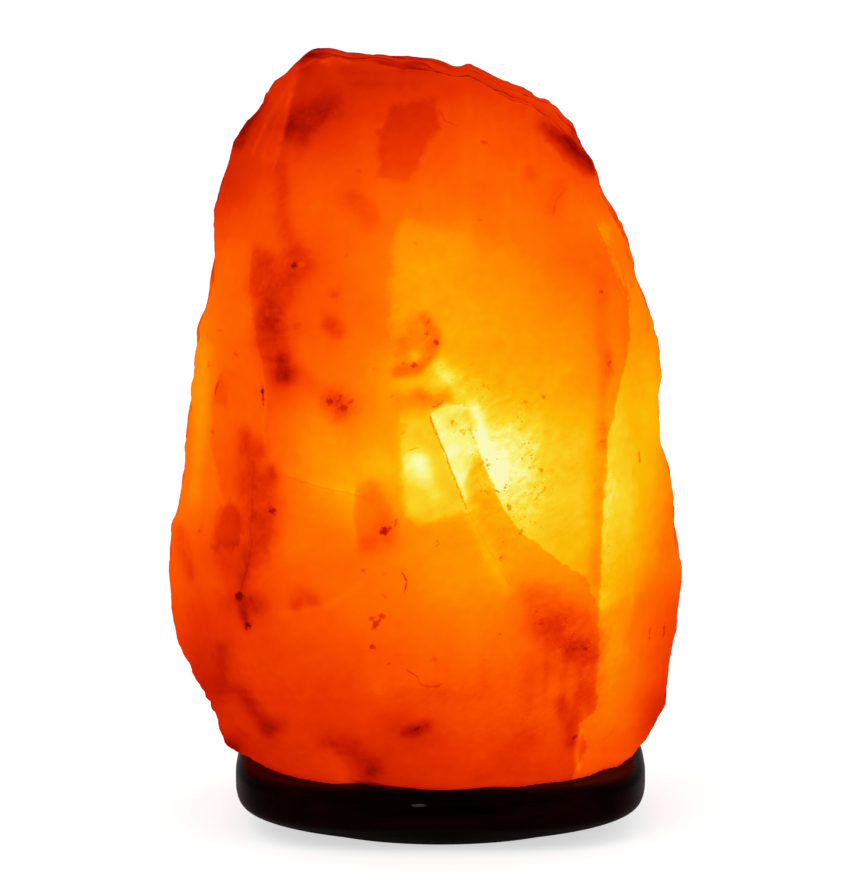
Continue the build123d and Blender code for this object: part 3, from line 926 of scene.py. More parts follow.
def smooth_step(values: Array, low: float, high: float) -> Array:
    """A smooth step from 0 at low to 1 at high."""
    share = np.clip((values - low) / (high - low), 0.0, 1.0)
    return share * share * (3.0 - 2.0 * share)


def wander(along: Array) -> Array:
    """An uneven wave from -1 to 1 along a length in millimetres."""
    return 0.6 * np.sin(along / 6.1) + 0.4 * np.sin(along / 2.7 + 1.3)


def dress(piece: Piece, material: bpy.types.Material) -> None:
    """Gives a piece its material."""
    piece.data.materials.clear()
    piece.data.materials.append(material)


# ---------------------------------------------------------------------------
# What the block of salt holds. Places are pixels of the photograph, seen from the front.
# ---------------------------------------------------------------------------


def along_line(points: Points, x: Array, y: Array) -> tuple[Array, Array, Array]:
    """Measures places against a line through points.

    Args:
        points: The line's points.
        x: Columns of the places.
        y: Rows of the places.

    Returns:
        Each place's distance, the distance with its sign (right hand of the way positive), and
        how far it lies past the line's nearer end.
    """
    nearest = np.full(x.shape, FAR)
    across = np.zeros(x.shape)
    beyond = np.zeros(x.shape)
    last = len(points) - 2
    for i, ((ax, ay), (bx, by)) in enumerate(zip(points, points[1:])):
        length = math.hypot(bx - ax, by - ay)
        share = ((x - ax) * (bx - ax) + (y - ay) * (by - ay)) / length**2
        held = np.clip(share, 0.0, 1.0)
        away = np.hypot(x - ax - held * (bx - ax), y - ay - held * (by - ay))
        side = ((bx - ax) * (y - ay) - (by - ay) * (x - ax)) / length
        # Off a corner both stretches are equally near, and the squarer one gives the side
        tied = (np.abs(away - nearest) < TIE) & (np.abs(side) > np.abs(across))
        closer = (away < nearest - TIE) | tied
        nearest = np.where(closer, away, nearest)
        across = np.where(closer, side, across)
        past = np.zeros(x.shape)
        if i == 0:
            past = np.maximum(past, -share * length)
        if i == last:
            past = np.maximum(past, (share - 1.0) * length)
        beyond = np.where(closer, past, beyond)
    return nearest, np.sign(across) * nearest, beyond


def inside(points: Points, x: Array, y: Array) -> Array:
    """Whether places lie inside a closed outline.

    Args:
        points: The outline's corners.
        x: Columns of the places.
        y: Rows of the places.

    Returns:
        True or False for each place.
    """
    odd = np.zeros(x.shape, bool)
    for (ax, ay), (bx, by) in zip(points, points[1:] + points[:1]):
        if ay == by:
            continue
        crosses = (ay > y) != (by > y)
        odd ^= crosses & (x < (bx - ax) * (y - ay) / (by - ay) + ax)
    return odd


@dataclass(frozen=True)
class Lobe:
    """A soft pool: its middle, its spread across and down, and its height."""

    x: float
    y: float
    across: float
    down: float
    lift: float

    def at(self, x: Array, y: Array) -> Array:
        """The pool's height at each place."""
        away = ((x - self.x) / self.across) ** 2 + ((y - self.y) / self.down) ** 2
        return self.lift * np.exp(-0.5 * away)


@dataclass(frozen=True)
class Smear:
    """A stain or a gleam drawn out along points, soft at its sides."""

    points: Points
    radius: float
    depth: float

    def at(self, x: Array, y: Array) -> Array:
        """The smear's depth at each place."""
        away, _, _ = along_line(self.points, x, y)
        return self.depth * np.exp(-((away / self.radius) ** 2))


@dataclass(frozen=True)
class Pit:
    """A small dark pit or grain."""

    x: float
    y: float
    radius: float
    change: float

    def within(self, x: Array, y: Array) -> Array:
        """How far inside the pit each place lies."""
        return self.radius - np.hypot(x - self.x, y - self.y)


@dataclass(frozen=True)
class Patch:
    """A closed area with ragged edges, whose glow differs by the change."""

    points: Points
    change: float

    def within(self, x: Array, y: Array) -> Array:
        """How far inside the patch each place lies."""
        away, _, _ = along_line(self.points + self.points[:1], x, y)
        return np.where(inside(self.points, x, y), away, -away)


@dataclass(frozen=True)
class Hairline:
    """A thin dark crack through its points."""

    points: Points
    depth: float
    tip: float = 2.5

    def change(self, _: Array, beyond: Array) -> Array:
        """How dark it is, by how far places lie past its ends."""
        return self.depth * np.exp(-((beyond / self.tip) ** 2))


@dataclass(frozen=True)
class Break:
    """An inner break: the light jumps by lift on the right hand of its points and fades away."""

    kind: BreakKind
    points: Points
    lift: float
    fade: float
    tip: float = 9.0

    def change(self, away: Array, beyond: Array) -> Array:
        """Its lift, by the distance from it and past its ends."""
        return self.lift * np.exp(-away / self.fade) * np.exp(-((beyond / self.tip) ** 2))


def heap(shapes: Sequence[Lobe | Smear], x: Array, y: Array) -> Array:
    """The heights of soft shapes, added up."""
    return sum((shape.at(x, y) for shape in shapes), np.zeros(x.shape))


def nearest_area(areas: Sequence[Pit | Patch], x: Array, y: Array) -> tuple[Array, Array]:
    """Measures places against the nearest of several areas.

    Args:
        areas: The areas.
        x: Columns of the places.
        y: Rows of the places.

    Returns:
        How far inside it each place lies, and the area's change.
    """
    within = np.full(x.shape, -OUT_OF_REACH)
    change = np.zeros(x.shape)
    for area in areas:
        this = area.within(x, y)
        change = np.where(this > within, area.change, change)
        within = np.maximum(within, this)
    return within, change


def nearest_line(
    lines: Sequence[Hairline | Break], none: float, x: Array, y: Array
) -> tuple[Array, Array]:
    """Measures places against the nearest of several lines.

    Args:
        lines: The lines.
        none: The distance where there are none.
        x: Columns of the places.
        y: Rows of the places.

    Returns:
        Each place's distance with its sign, and the line's change there.
    """
    side = np.full(x.shape, none)
    nearest = np.full(x.shape, FAR)
    change = np.zeros(x.shape)
    for line in lines:
        away, signed, beyond = along_line(line.points, x, y)
        closer = away < nearest
        nearest = np.minimum(nearest, away)
        side = np.where(closer, signed, side)
        change = np.where(closer, line.change(away, beyond), change)
    return side, change


@dataclass
class Inclusions:
    """What one view of the block shows. Places are that view's columns and rows."""

    pools: list[Lobe] = field(default_factory=list)
    gleams: list[Smear] = field(default_factory=list)
    stains_and_edge_shade: list[Smear] = field(default_factory=list)
    grit: list[Lobe] = field(default_factory=list)
    pits: list[Pit] = field(default_factory=list)
    hairlines: list[Hairline] = field(default_factory=list)
    breaks: list[Break] = field(default_factory=list)
    patches: list[Patch] = field(default_factory=list)
    deepest_stain: float = 0.36

    def paint(self, x: Array, y: Array) -> dict[str, Array]:
        """Works out the view's channels.

        Args:
            x: Columns of the places.
            y: Rows of the places.

        Returns:
            One array for each channel that the finish reads.
        """
        deepest = self.deepest_stain
        made = {
            "glow": heap([*self.pools, *self.gleams], x, y),
            "stain": deepest * np.tanh(heap(self.stains_and_edge_shade, x, y) / deepest),
            "grit": heap(self.grit, x, y),
        }
        made["pit"], made["pit_depth"] = nearest_area(self.pits, x, y)
        cracks = nearest_line(self.hairlines, OUT_OF_REACH, x, y)
        made["hairline_side"], made["hairline_depth"] = cracks
        for kind in BreakKind:
            lines = [line for line in self.breaks if line.kind is kind]
            edge = nearest_line(lines, -OUT_OF_REACH, x, y)
            made[kind.label + "_side"], made[kind.label + "_lift"] = edge
        made["patch_side"], made["patch_lift"] = nearest_area(self.patches, x, y)
        return made


# The photographed front, in pixels of the photograph
# Middle, spread across and down, and height of each pool of light
POOLS = (
    (450, 430, 900, 900, 0.10),  # light that reaches every corner
    (455, 400, 150, 205, 0.50),  # the whole body
    (455, 255, 110, 90, 0.16),  # above the bulb
    (478, 428, 62, 60, 0.120),  # the bulb
    (545, 464, 58, 82, 0.155),  # right of the bulb
    (538, 508, 36, 44, 0.105),  # above the long ragged edge
    (560, 350, 20, 50, 0.06),
    (440, 575, 110, 75, 0.15),  # below the bulb
    (500, 665, 120, 90, 0.13),  # lower middle
    (640, 455, 42, 118, 0.36),  # right flank
    (195, 400, 28, 90, 0.40),  # left rim
    (240, 250, 60, 90, 0.14),  # upper left
    (330, 455, 50, 50, 0.18),  # left of the bulb
    (612, 690, 22, 60, 0.16),  # lower right
    (240, 640, 60, 80, 0.08),  # lower left
    (530, 160, 70, 60, 0.08),  # upper right
    (174, 560, 14, 70, 0.20),  # lower left edge
    (205, 500, 22, 26, 0.09),
    (330, 298, 36, 40, -0.08),  # dimmer left of the middle
    (420, 376, 30, 20, 0.09),  # under the crescent
    (596, 214, 22, 26, 0.10),  # upper right edge
    (455, 672, 44, 30, -0.06), (548, 706, 34, 28, 0.09), (520, 765, 40, 16, 0.05),
    (292, 540, 26, 34, 0.06), (485, 192, 26, 22, -0.06), (660, 722, 14, 20, -0.08),
    (682, 570, 10, 22, 0.10), (245, 400, 22, 30, 0.05), (355, 420, 22, 22, -0.05),
    (630, 395, 20, 40, -0.06), (384, 474, 12, 18, 0.07),
    (438, 474, 20, 30, 0.06),  # left of the crack
    (532, 634, 12, 12, -0.05), (580, 520, 16, 60, 0.045), (654, 385, 9, 50, 0.08),
    (205, 565, 16, 24, 0.06), (305, 195, 20, 24, 0.05), (310, 435, 22, 22, 0.04),
    (262, 138, 20, 24, -0.09),  # the dim corner at the top left
    (228, 178, 14, 26, -0.09), (305, 72, 20, 16, -0.07), (582, 146, 12, 14, -0.09),
    (283, 388, 12, 14, -0.08), (370, 541, 34, 14, -0.05),
    (472, 533, 34, 14, -0.06),  # the step down under the bright zone
    (655, 716, 12, 16, -0.03), (452, 692, 24, 14, -0.05), (207, 690, 12, 18, -0.08),
    (228, 750, 9, 8, -0.22),
)
# Middle, spread and density of each zone of grit
GRIT = (
    (512, 470, 36, 48, 1.0), (465, 388, 26, 18, 0.6), (541, 620, 20, 20, 0.40),
    (576, 645, 24, 44, 0.45), (430, 690, 70, 26, 0.3), (530, 715, 55, 36, 0.4),
    (258, 520, 12, 48, 0.6), (408, 346, 22, 28, 0.5), (604, 600, 9, 110, 0.5),
    (338, 404, 12, 12, 0.7),
)
# Radius, height and points of each gleam
GLEAMS = (
    (5, 0.09, (474, 408), (482, 432), (491, 456), (504, 486)),
    (11, 0.09, (422, 462), (428, 480), (436, 496)), (14, 0.08, (414, 460), (418, 505)),
    (7, 0.06, (471, 518), (490, 556), (506, 590)), (9, 0.04, (436, 418), (450, 440), (462, 480)),
    (9, 0.06, (464, 430), (470, 448)), (17, 0.08, (455, 385), (478, 408)),
    (5, 0.08, (414, 354), (417, 358)), (8, 0.09, (436, 362), (446, 376)),
    (3, 0.16, (581, 732), (577, 750), (578, 768)), (2.5, 0.13, (301, 263), (303, 265)),
    (3, 0.07, (300, 66), (291, 92), (281, 138)), (1.6, 0.045, (290, 84), (268, 116), (254, 150)),
    (1.3, 0.04, (283, 98), (262, 132), (250, 160)), (1.3, 0.03, (294, 92), (276, 122), (262, 158)),
    (1.6, 0.10, (304, 66), (316, 58), (330, 64)), (1.6, 0.10, (322, 62), (336, 56), (350, 62)),
    (4, 0.04, (282, 614), (332, 605), (360, 585)), (8, 0.07, (203, 350), (200, 440), (194, 500)),
)
# Radius, depth and points of each stain, and of the painted shade along the top edge
STAINS_AND_EDGE_SHADE = (
    # the long smear down the left crease
    (16, 0.27, (298, 262), (284, 284), (274, 310), (270, 345)), (9, 0.07, (296, 238), (292, 252)),
    (10, 0.14, (258, 255), (255, 290)), (10, 0.15, (268, 262), (270, 300), (268, 335)),
    (14, 0.16, (270, 325), (276, 352), (282, 369)), (10, 0.28, (281, 362), (284, 374)),
    (10, 0.08, (296, 372), (312, 385)), (8, 0.11, (280, 168), (283, 200), (284, 236)),
    # the rough band further down
    (15, 0.25, (262, 486), (266, 506), (264, 530), (256, 552)),
    (10, 0.13, (248, 440), (246, 480), (248, 520)), (14, 0.07, (222, 560), (240, 575)),
    (5, 0.11, (252, 455), (252, 500), (250, 552), (242, 588)), (6, 0.20, (271, 470), (273, 476)),
    (7, 0.13, (244, 432), (246, 446)), (6, 0.12, (260, 440), (262, 455)),
    (7, 0.14, (180, 530), (184, 556), (190, 575)), (10, 0.16, (251, 602), (254, 608)),
    (4.5, 0.22, (240, 600), (247, 626)), (9, 0.08, (228, 600), (262, 603)),
    # scattered soft stains
    (17, 0.17, (292, 120), (310, 120), (330, 112)), (10, 0.10, (290, 132), (302, 140)),
    (8, 0.15, (297, 606), (300, 594), (314, 602)), (8, 0.08, (222, 650), (223, 690)),
    (8, 0.12, (238, 690), (252, 708), (270, 730)), (9, 0.08, (268, 728), (282, 724)),
    (12, 0.12, (330, 742), (352, 748), (366, 768)), (12, 0.11, (374, 770), (378, 774)),
    (6, 0.22, (408, 732), (427, 725)), (17, 0.07, (400, 728), (430, 738)),
    (12, 0.34, (333, 400), (342, 408)), (8, 0.08, (297, 326), (298, 328)),
    (6, 0.08, (334, 294), (336, 296)), (9, 0.22, (331, 324), (336, 331)),
    (11, 0.10, (351, 197), (362, 212), (368, 220)), (10, 0.13, (384, 531), (390, 540), (370, 545)),
    (13, 0.10, (372, 492), (382, 512)),
    # the crescent and the band below it
    (6, 0.20, (424, 318), (436, 336), (431, 356), (416, 370), (397, 372)),
    (12, 0.06, (400, 340), (410, 330), (420, 338)), (7, 0.13, (418, 394), (436, 401), (447, 394)),
    (9, 0.10, (400, 400), (420, 402)),
    # lower right
    (14, 0.19, (532, 600), (540, 620), (552, 632)), (22, 0.10, (540, 604), (566, 636), (588, 690)),
    (14, 0.21, (556, 612), (580, 620), (594, 636)), (11, 0.27, (577, 646), (592, 652)),
    (8, 0.17, (592, 655), (590, 703)), (16, 0.06, (562, 650), (552, 672)),
    (10, 0.09, (532, 668), (528, 704)), (4, 0.08, (548, 640), (545, 704)),
    (4, 0.08, (566, 652), (560, 718)), (4, 0.07, (582, 662), (576, 716)),
    (8, 0.15, (560, 702), (570, 716), (571, 742)), (13, 0.07, (505, 758), (528, 740)),
    (9, 0.05, (478, 776), (540, 770)),
    # along the right crease
    (7, 0.08, (600, 300), (604, 380), (600, 440), (598, 520), (594, 580)),
    (6, 0.13, (602, 425), (603, 446)), (6, 0.13, (607, 355), (609, 370)),
    (6, 0.10, (603, 300), (600, 280)),
    # upper right
    (8, 0.20, (544, 126), (565, 140), (590, 166)), (9, 0.08, (560, 188), (552, 205)),
    (6, 0.08, (530, 170), (531, 178)),
    # the dark top edge: painted shade along the block's top outline
    (5, 0.20, (300, 54), (330, 48), (400, 56), (440, 63), (470, 65)),
    (7, 0.10, (470, 68), (486, 76)), (4, 0.18, (572, 124), (588, 150), (600, 178)),
    (8, 0.22, (258, 100), (246, 122), (236, 142)), (8, 0.10, (300, 60), (318, 52)),
    (6, 0.06, (345, 70), (380, 74), (420, 68)), (5, 0.05, (350, 83), (400, 85)),
)
# Middle, radius and depth of each pit
PITS = (
    (294, 265, 3.4, 0.22), (262, 391, 2.6, 0.36), (263, 400, 2.2, 0.26), (272, 511, 4.0, 0.26),
    (239, 596, 4.4, 0.36), (247, 626, 2.6, 0.20), (330, 402, 4.2, 0.20), (340, 396, 2.4, 0.20),
    (344, 409, 4.6, 0.18), (351, 402, 2.2, 0.16), (337, 403, 3.2, 0.14), (336, 412, 2.0, 0.16),
    (427, 322, 2.2, 0.30), (427, 334, 1.8, 0.30), (437, 342, 2.6, 0.34), (414, 366, 2.6, 0.32),
    (404, 364, 2.2, 0.16), (392, 396, 2.2, 0.26), (404, 432, 2.4, 0.12), (426, 497, 1.3, 0.24),
    (384, 531, 4.2, 0.34), (390, 528, 2.2, 0.20), (437, 544, 2.6, 0.20), (505, 542, 1.8, 0.28),
    (521, 531, 2.6, 0.26), (509, 507, 2.4, 0.26), (506, 485, 1.6, 0.22), (510, 465, 1.7, 0.24),
    (541, 470, 1.8, 0.24), (529, 469, 1.2, 0.22), (516, 474, 1.2, 0.20), (464, 432, 2.2, 0.14),
    (452, 421, 1.6, 0.16), (471, 366, 2.2, 0.12), (452, 381, 1.8, 0.14), (482, 412, 1.5, 0.18),
    (525, 402, 3.6, 0.10), (544, 397, 1.8, 0.20), (609, 362, 2.8, 0.26), (601, 292, 2.0, 0.22),
    (603, 430, 2.4, 0.24), (602, 441, 2.2, 0.26), (364, 570, 2.2, 0.26), (384, 574, 2.0, 0.16),
    (385, 596, 2.6, 0.22), (376, 623, 4.6, 0.26), (372, 618, 3.0, 0.26), (382, 617, 3.6, 0.26),
    (375, 629, 2.6, 0.26), (372, 647, 3.2, 0.24), (389, 664, 2.2, 0.14), (434, 659, 2.6, 0.26),
    (417, 728, 3.0, 0.16), (541, 622, 2.2, 0.20), (536, 612, 2.0, 0.18), (582, 636, 2.2, 0.18),
    (586, 648, 2.8, 0.20), (575, 737, 2.8, 0.20), (501, 558, 1.6, 0.18), (212, 432, 2.2, 0.18),
    (200, 532, 2.4, 0.18), (210, 364, 1.6, 0.20), (219, 330, 2.0, 0.18), (236, 354, 2.4, 0.12),
    (335, 294, 4.0, 0.05), (297, 326, 5.0, 0.04), (346, 257, 2.6, 0.08), (378, 132, 3.2, 0.12),
    (359, 171, 3.0, 0.08), (484, 143, 3.0, 0.12), (484, 660, 1.6, 0.16), (500, 634, 1.6, 0.16),
    (539, 593, 1.6, 0.16), (480, 220, 2.4, 0.10), (416, 243, 2.2, 0.10), (374, 369, 3.0, 0.06),
)
# Depth and points of each hairline
HAIRLINES = (
    (0.20, (430, 418), (446, 457), (467, 509)),
    (0.03, (467, 509), (477, 527), (492, 556), (510, 585)),
    (0.06, (254, 460), (252, 500), (251, 550), (246, 572), (241, 590)),
    (0.07, (285, 475), (310, 485), (335, 492), (356, 495)),
    (0.32, (403, 574), (406, 583), (404, 590)), (0.22, (639, 452), (639, 463)),
    (0.20, (651, 628), (649, 639)), (0.20, (664, 625), (663, 635)),
    (0.18, (408, 671), (416, 677), (422, 684), (431, 687), (440, 685)),
    (0.20, (391, 523), (397, 519), (395, 526)), (0.14, (410, 451), (416, 449)),
    (0.24, (262, 384), (263, 405)), (0.26, (440, 403), (437, 406), (434, 407)),
    (0.18, (216, 394), (219, 378), (220, 374)), (0.08, (440, 111), (446, 122), (456, 126)),
    (0.07, (566, 190), (556, 200), (553, 214)), (0.08, (600, 236), (624, 275), (631, 306)),
    (0.10, (535, 500), (545, 490)),
)
# Kind, lift, fade and points of each inner break
BREAKS = (
    # left edge and top of the bright shard beside the long crack
    (BreakKind.CRACK, 0.10, 30, (461, 494), (445, 455), (430, 413), (444, 404), (460, 405)),
    # right edge of that shard
    (BreakKind.RIM, 0.03, 14, (477, 450), (470, 464), (465, 482)),
    # the long ragged edge below the bright zone, from the lower right up
    (BreakKind.LEDGE, 0.11, 60, (597, 604), (585, 579), (560, 562), (537, 543), (520, 532),
     (507, 514), (497, 494), (487, 468), (479, 450), (475, 436)),
    # lower and left edge of the pool left of the crack
    (BreakKind.VEIL, 0.12, 26, (466, 512), (447, 517), (422, 525), (404, 516), (402, 470),
     (400, 425)),
    (BreakKind.RIM, 0.09, 30, (355, 495), (353, 518), (357, 543)),
    (BreakKind.CREASE, 0.05, 24, (357, 495), (335, 491), (310, 485), (290, 478)),
    # the right-hand crease, from the base up
    (BreakKind.CREASE, 0.14, 70, (572, 784), (577, 765), (587, 747), (578, 725), (595, 710),
     (598, 660), (600, 600), (602, 535), (605, 485), (608, 435), (618, 395), (630, 340), (628, 295),
     (612, 262), (600, 232)),
    # the upright break in the upper middle
    (BreakKind.VEIL, 0.09, 80, (390, 330), (391, 290), (394, 240), (400, 222)),
    # the left crease, from the top down
    (BreakKind.LEDGE, 0.07, 22, (251, 250), (250, 300), (255, 342), (265, 370), (267, 440)),
    # the far left strip
    (BreakKind.RIM, -0.08, 22, (221, 490), (210, 440), (212, 402), (220, 374)),
    # the facet at the top left corner
    (BreakKind.RIM, 0.09, 30, (306, 52), (297, 66), (288, 117), (277, 160)),
    # the redder lower zone
    (BreakKind.VEIL, 0.06, 40, (470, 690), (430, 686), (375, 692)),
    # the soft lobe beside the lower brown zone
    (BreakKind.VEIL, 0.07, 26, (332, 748), (345, 763), (350, 784)),
)
# Lift and corners of each patch
PATCHES = (
    (-0.10, (392, 106), (411, 100), (436, 97), (439, 128), (428, 142), (423, 162), (409, 181),
     (390, 184), (377, 177), (378, 140)),
    (-0.15, (229, 497), (240, 512), (243, 530), (240, 547), (227, 549), (214, 556), (211, 550),
     (214, 530), (219, 514)),
    (-0.04, (358, 484), (372, 478), (390, 500), (398, 524), (392, 545), (362, 541), (357, 510)),
    (-0.10, (543, 124), (566, 134), (590, 158), (599, 177), (580, 172), (562, 158), (548, 142)),
    (-0.07, (220, 374), (227, 392), (228, 408), (212, 404), (215, 388)),
    (-0.05, (477, 454), (486, 472), (496, 496), (504, 513), (484, 506), (470, 498), (465, 482)),
    (-0.05, (426, 312), (438, 330), (438, 350), (424, 370), (404, 376), (392, 372), (398, 340),
     (408, 320)),
)


def front_inclusions() -> Inclusions:
    """What the photograph shows in the block, in its pixels."""
    return Inclusions(
        pools=[Lobe(*pool) for pool in POOLS],
        gleams=[Smear(points, radius, height) for radius, height, *points in GLEAMS],
        stains_and_edge_shade=[Smear(points, radius, depth) for radius, depth, *points in STAINS_AND_EDGE_SHADE],
        grit=[Lobe(*zone) for zone in GRIT],
        pits=[Pit(*pit) for pit in PITS],
        hairlines=[Hairline(points, depth) for depth, *points in HAIRLINES],
        breaks=[Break(kind, points, lift, fade) for kind, lift, fade, *points in BREAKS],
        patches=[Patch(points, lift) for lift, *points in PATCHES],
    )


@dataclass
class SeededInclusions:
    """Inclusions of the same kinds for the sides and the back, which the photograph doesn't show.

    Places are columns from the middle of the back, and rows, at the photograph's scale.
    """

    seed: int = 11
    widest: float = 560.0
    rows: tuple[float, float] = (110.0, 760.0)
    corners: int = 9  # of a patch

    def __post_init__(self) -> None:
        """Starts the row of random numbers."""
        self.dice = random.Random(self.seed)

    def place(self) -> tuple[float, float]:
        """A place on the sides or the back."""
        return self.dice.uniform(-self.widest, self.widest), self.dice.uniform(*self.rows)

    def trail(self, steps: int, stride: float, lean: float) -> Points:
        """A wandering line, mostly up and down.

        Args:
            steps: How many stretches it has.
            stride: Length of a stretch.
            lean: How far it leans to the right.

        Returns:
            Its points.
        """
        x, y = self.place()
        points = [(x, y)]
        for _ in range(steps):
            x += self.dice.gauss(lean, 0.45) * stride
            y += self.dice.uniform(0.5, 1.2) * stride
            points.append((x, y))
        return points

    def outline(self) -> Points:
        """The corners of a patch, higher than wide."""
        draw = self.dice.uniform
        x, y = self.place()
        reach = draw(14.0, 34.0)
        points = []
        for k in range(self.corners):
            turn = k * math.tau / self.corners
            across = reach * draw(0.5, 1.1) * math.cos(turn)
            points.append((x + across, y + 1.4 * reach * draw(0.5, 1.1) * math.sin(turn)))
        return points

    def scatter(self) -> Inclusions:
        """Draws the inclusions, each kind in its turn.

        Returns:
            The inclusions.
        """
        draw = self.dice.uniform
        made = Inclusions()
        for _ in range(26):
            smear = Smear(self.trail(3, 24.0, 0.0), draw(6.0, 16.0), draw(0.08, 0.24))
            made.stains_and_edge_shade.append(smear)
        for _ in range(110):
            made.pits.append(Pit(*self.place(), draw(1.4, 4.4), draw(0.12, 0.32)))
        for _ in range(16):
            crack = Hairline(self.trail(4, 16.0, draw(-0.8, 0.8)), draw(0.08, 0.22))
            made.hairlines.append(crack)
        for _ in range(12):
            lift = self.dice.choice((-1, 1)) * draw(0.06, 0.13)
            kind = self.dice.choice(list(BreakKind))
            points = self.trail(5, 42.0, draw(-0.6, 0.6))
            made.breaks.append(Break(kind, points, lift, draw(30, 90)))
        for _ in range(9):
            made.patches.append(Patch(self.outline(), -draw(0.06, 0.13)))
        for _ in range(14):
            made.grit.append(Lobe(*self.place(), draw(12, 40), draw(20, 60), draw(0.4, 0.9)))
        for _ in range(10):
            pool = Lobe(*self.place(), draw(30, 80), draw(40, 110), draw(-0.08, 0.08))
            made.pools.append(pool)
        return made


# ---------------------------------------------------------------------------
# The block of salt
# ---------------------------------------------------------------------------

# Corners of the block's outline in the photograph, the sides from the top down, the top from
# the left
LEFT_OUTLINE = [
    (248, 112), (232, 150), (217, 208), (214, 262), (208, 300), (198, 330), (191, 395), (185, 465),
    (178, 508), (170, 528), (170, 578), (177, 628), (187, 660), (204, 692), (215, 722), (224, 744),
    (239, 757),
]
RIGHT_OUTLINE = [
    (556, 105), (582, 137), (597, 166), (605, 196), (617, 214), (629, 242), (637, 282), (652, 320),
    (658, 366), (660, 440), (671, 482), (675, 540), (680, 576), (678, 630), (671, 668), (665, 706),
    (651, 731), (643, 743), (638, 753),
]
TOP_OUTLINE = [
    (250, 108), (262, 90), (284, 71), (297, 59), (309, 49), (332, 46), (352, 52), (392, 54),
    (428, 58), (455, 66), (468, 64), (500, 77), (548, 99), (562, 112), (572, 121), (584, 140),
]


def outline_at(corners: Points, along: int, steps: Array) -> Array:
    """Where an outline lies at each step.

    Args:
        corners: The outline's corners.
        along: Which of their numbers the steps follow.
        steps: Columns or rows.

    Returns:
        The outline's row or column at each.
    """
    return np.interp(steps, [c[along] for c in corners], [c[1 - along] for c in corners])


def edge_at(
    pick: Callable[[Array], float], across: Array, along: Array, steps: Array, window: float = 5.0
) -> Array:
    """Where a mesh's own outline lies at each step.

    Args:
        pick: Lowest or highest of several.
        across: Columns or rows of the points.
        along: Their rows or columns.
        steps: The places along.
        window: Half the stretch about each step that counts.

    Returns:
        The outermost place across at each step.
    """
    return np.array([pick(across[np.abs(along - step) < window]) for step in steps])


class ReliefKind(Enum):
    """Patterns that carve the block's relief."""

    LUMPS = "CLOUDS"
    SCOOPS = "VORONOI"


@dataclass(frozen=True)
class ReliefLayer:
    """One layer of relief, in millimetres."""

    kind: ReliefKind
    size: float
    depth: float
    level: float = 0.5

    def carve(self, piece: Piece, group: str) -> None:
        """Moves the piece's surface in and out.

        Args:
            piece: The mesh object.
            group: The vertex group that says where.
        """
        texture = bpy.data.textures.new(f"relief_{self.size:g}", self.kind.value)
        texture.noise_scale = self.size * MM
        if self.kind is ReliefKind.LUMPS:
            texture.noise_depth = 2
        apply_modifier(
            piece,
            "DISPLACE",
            texture=texture,
            texture_coords="LOCAL",
            direction="NORMAL",
            strength=self.depth * MM,
            mid_level=self.level,
            vertex_group=group,
        )


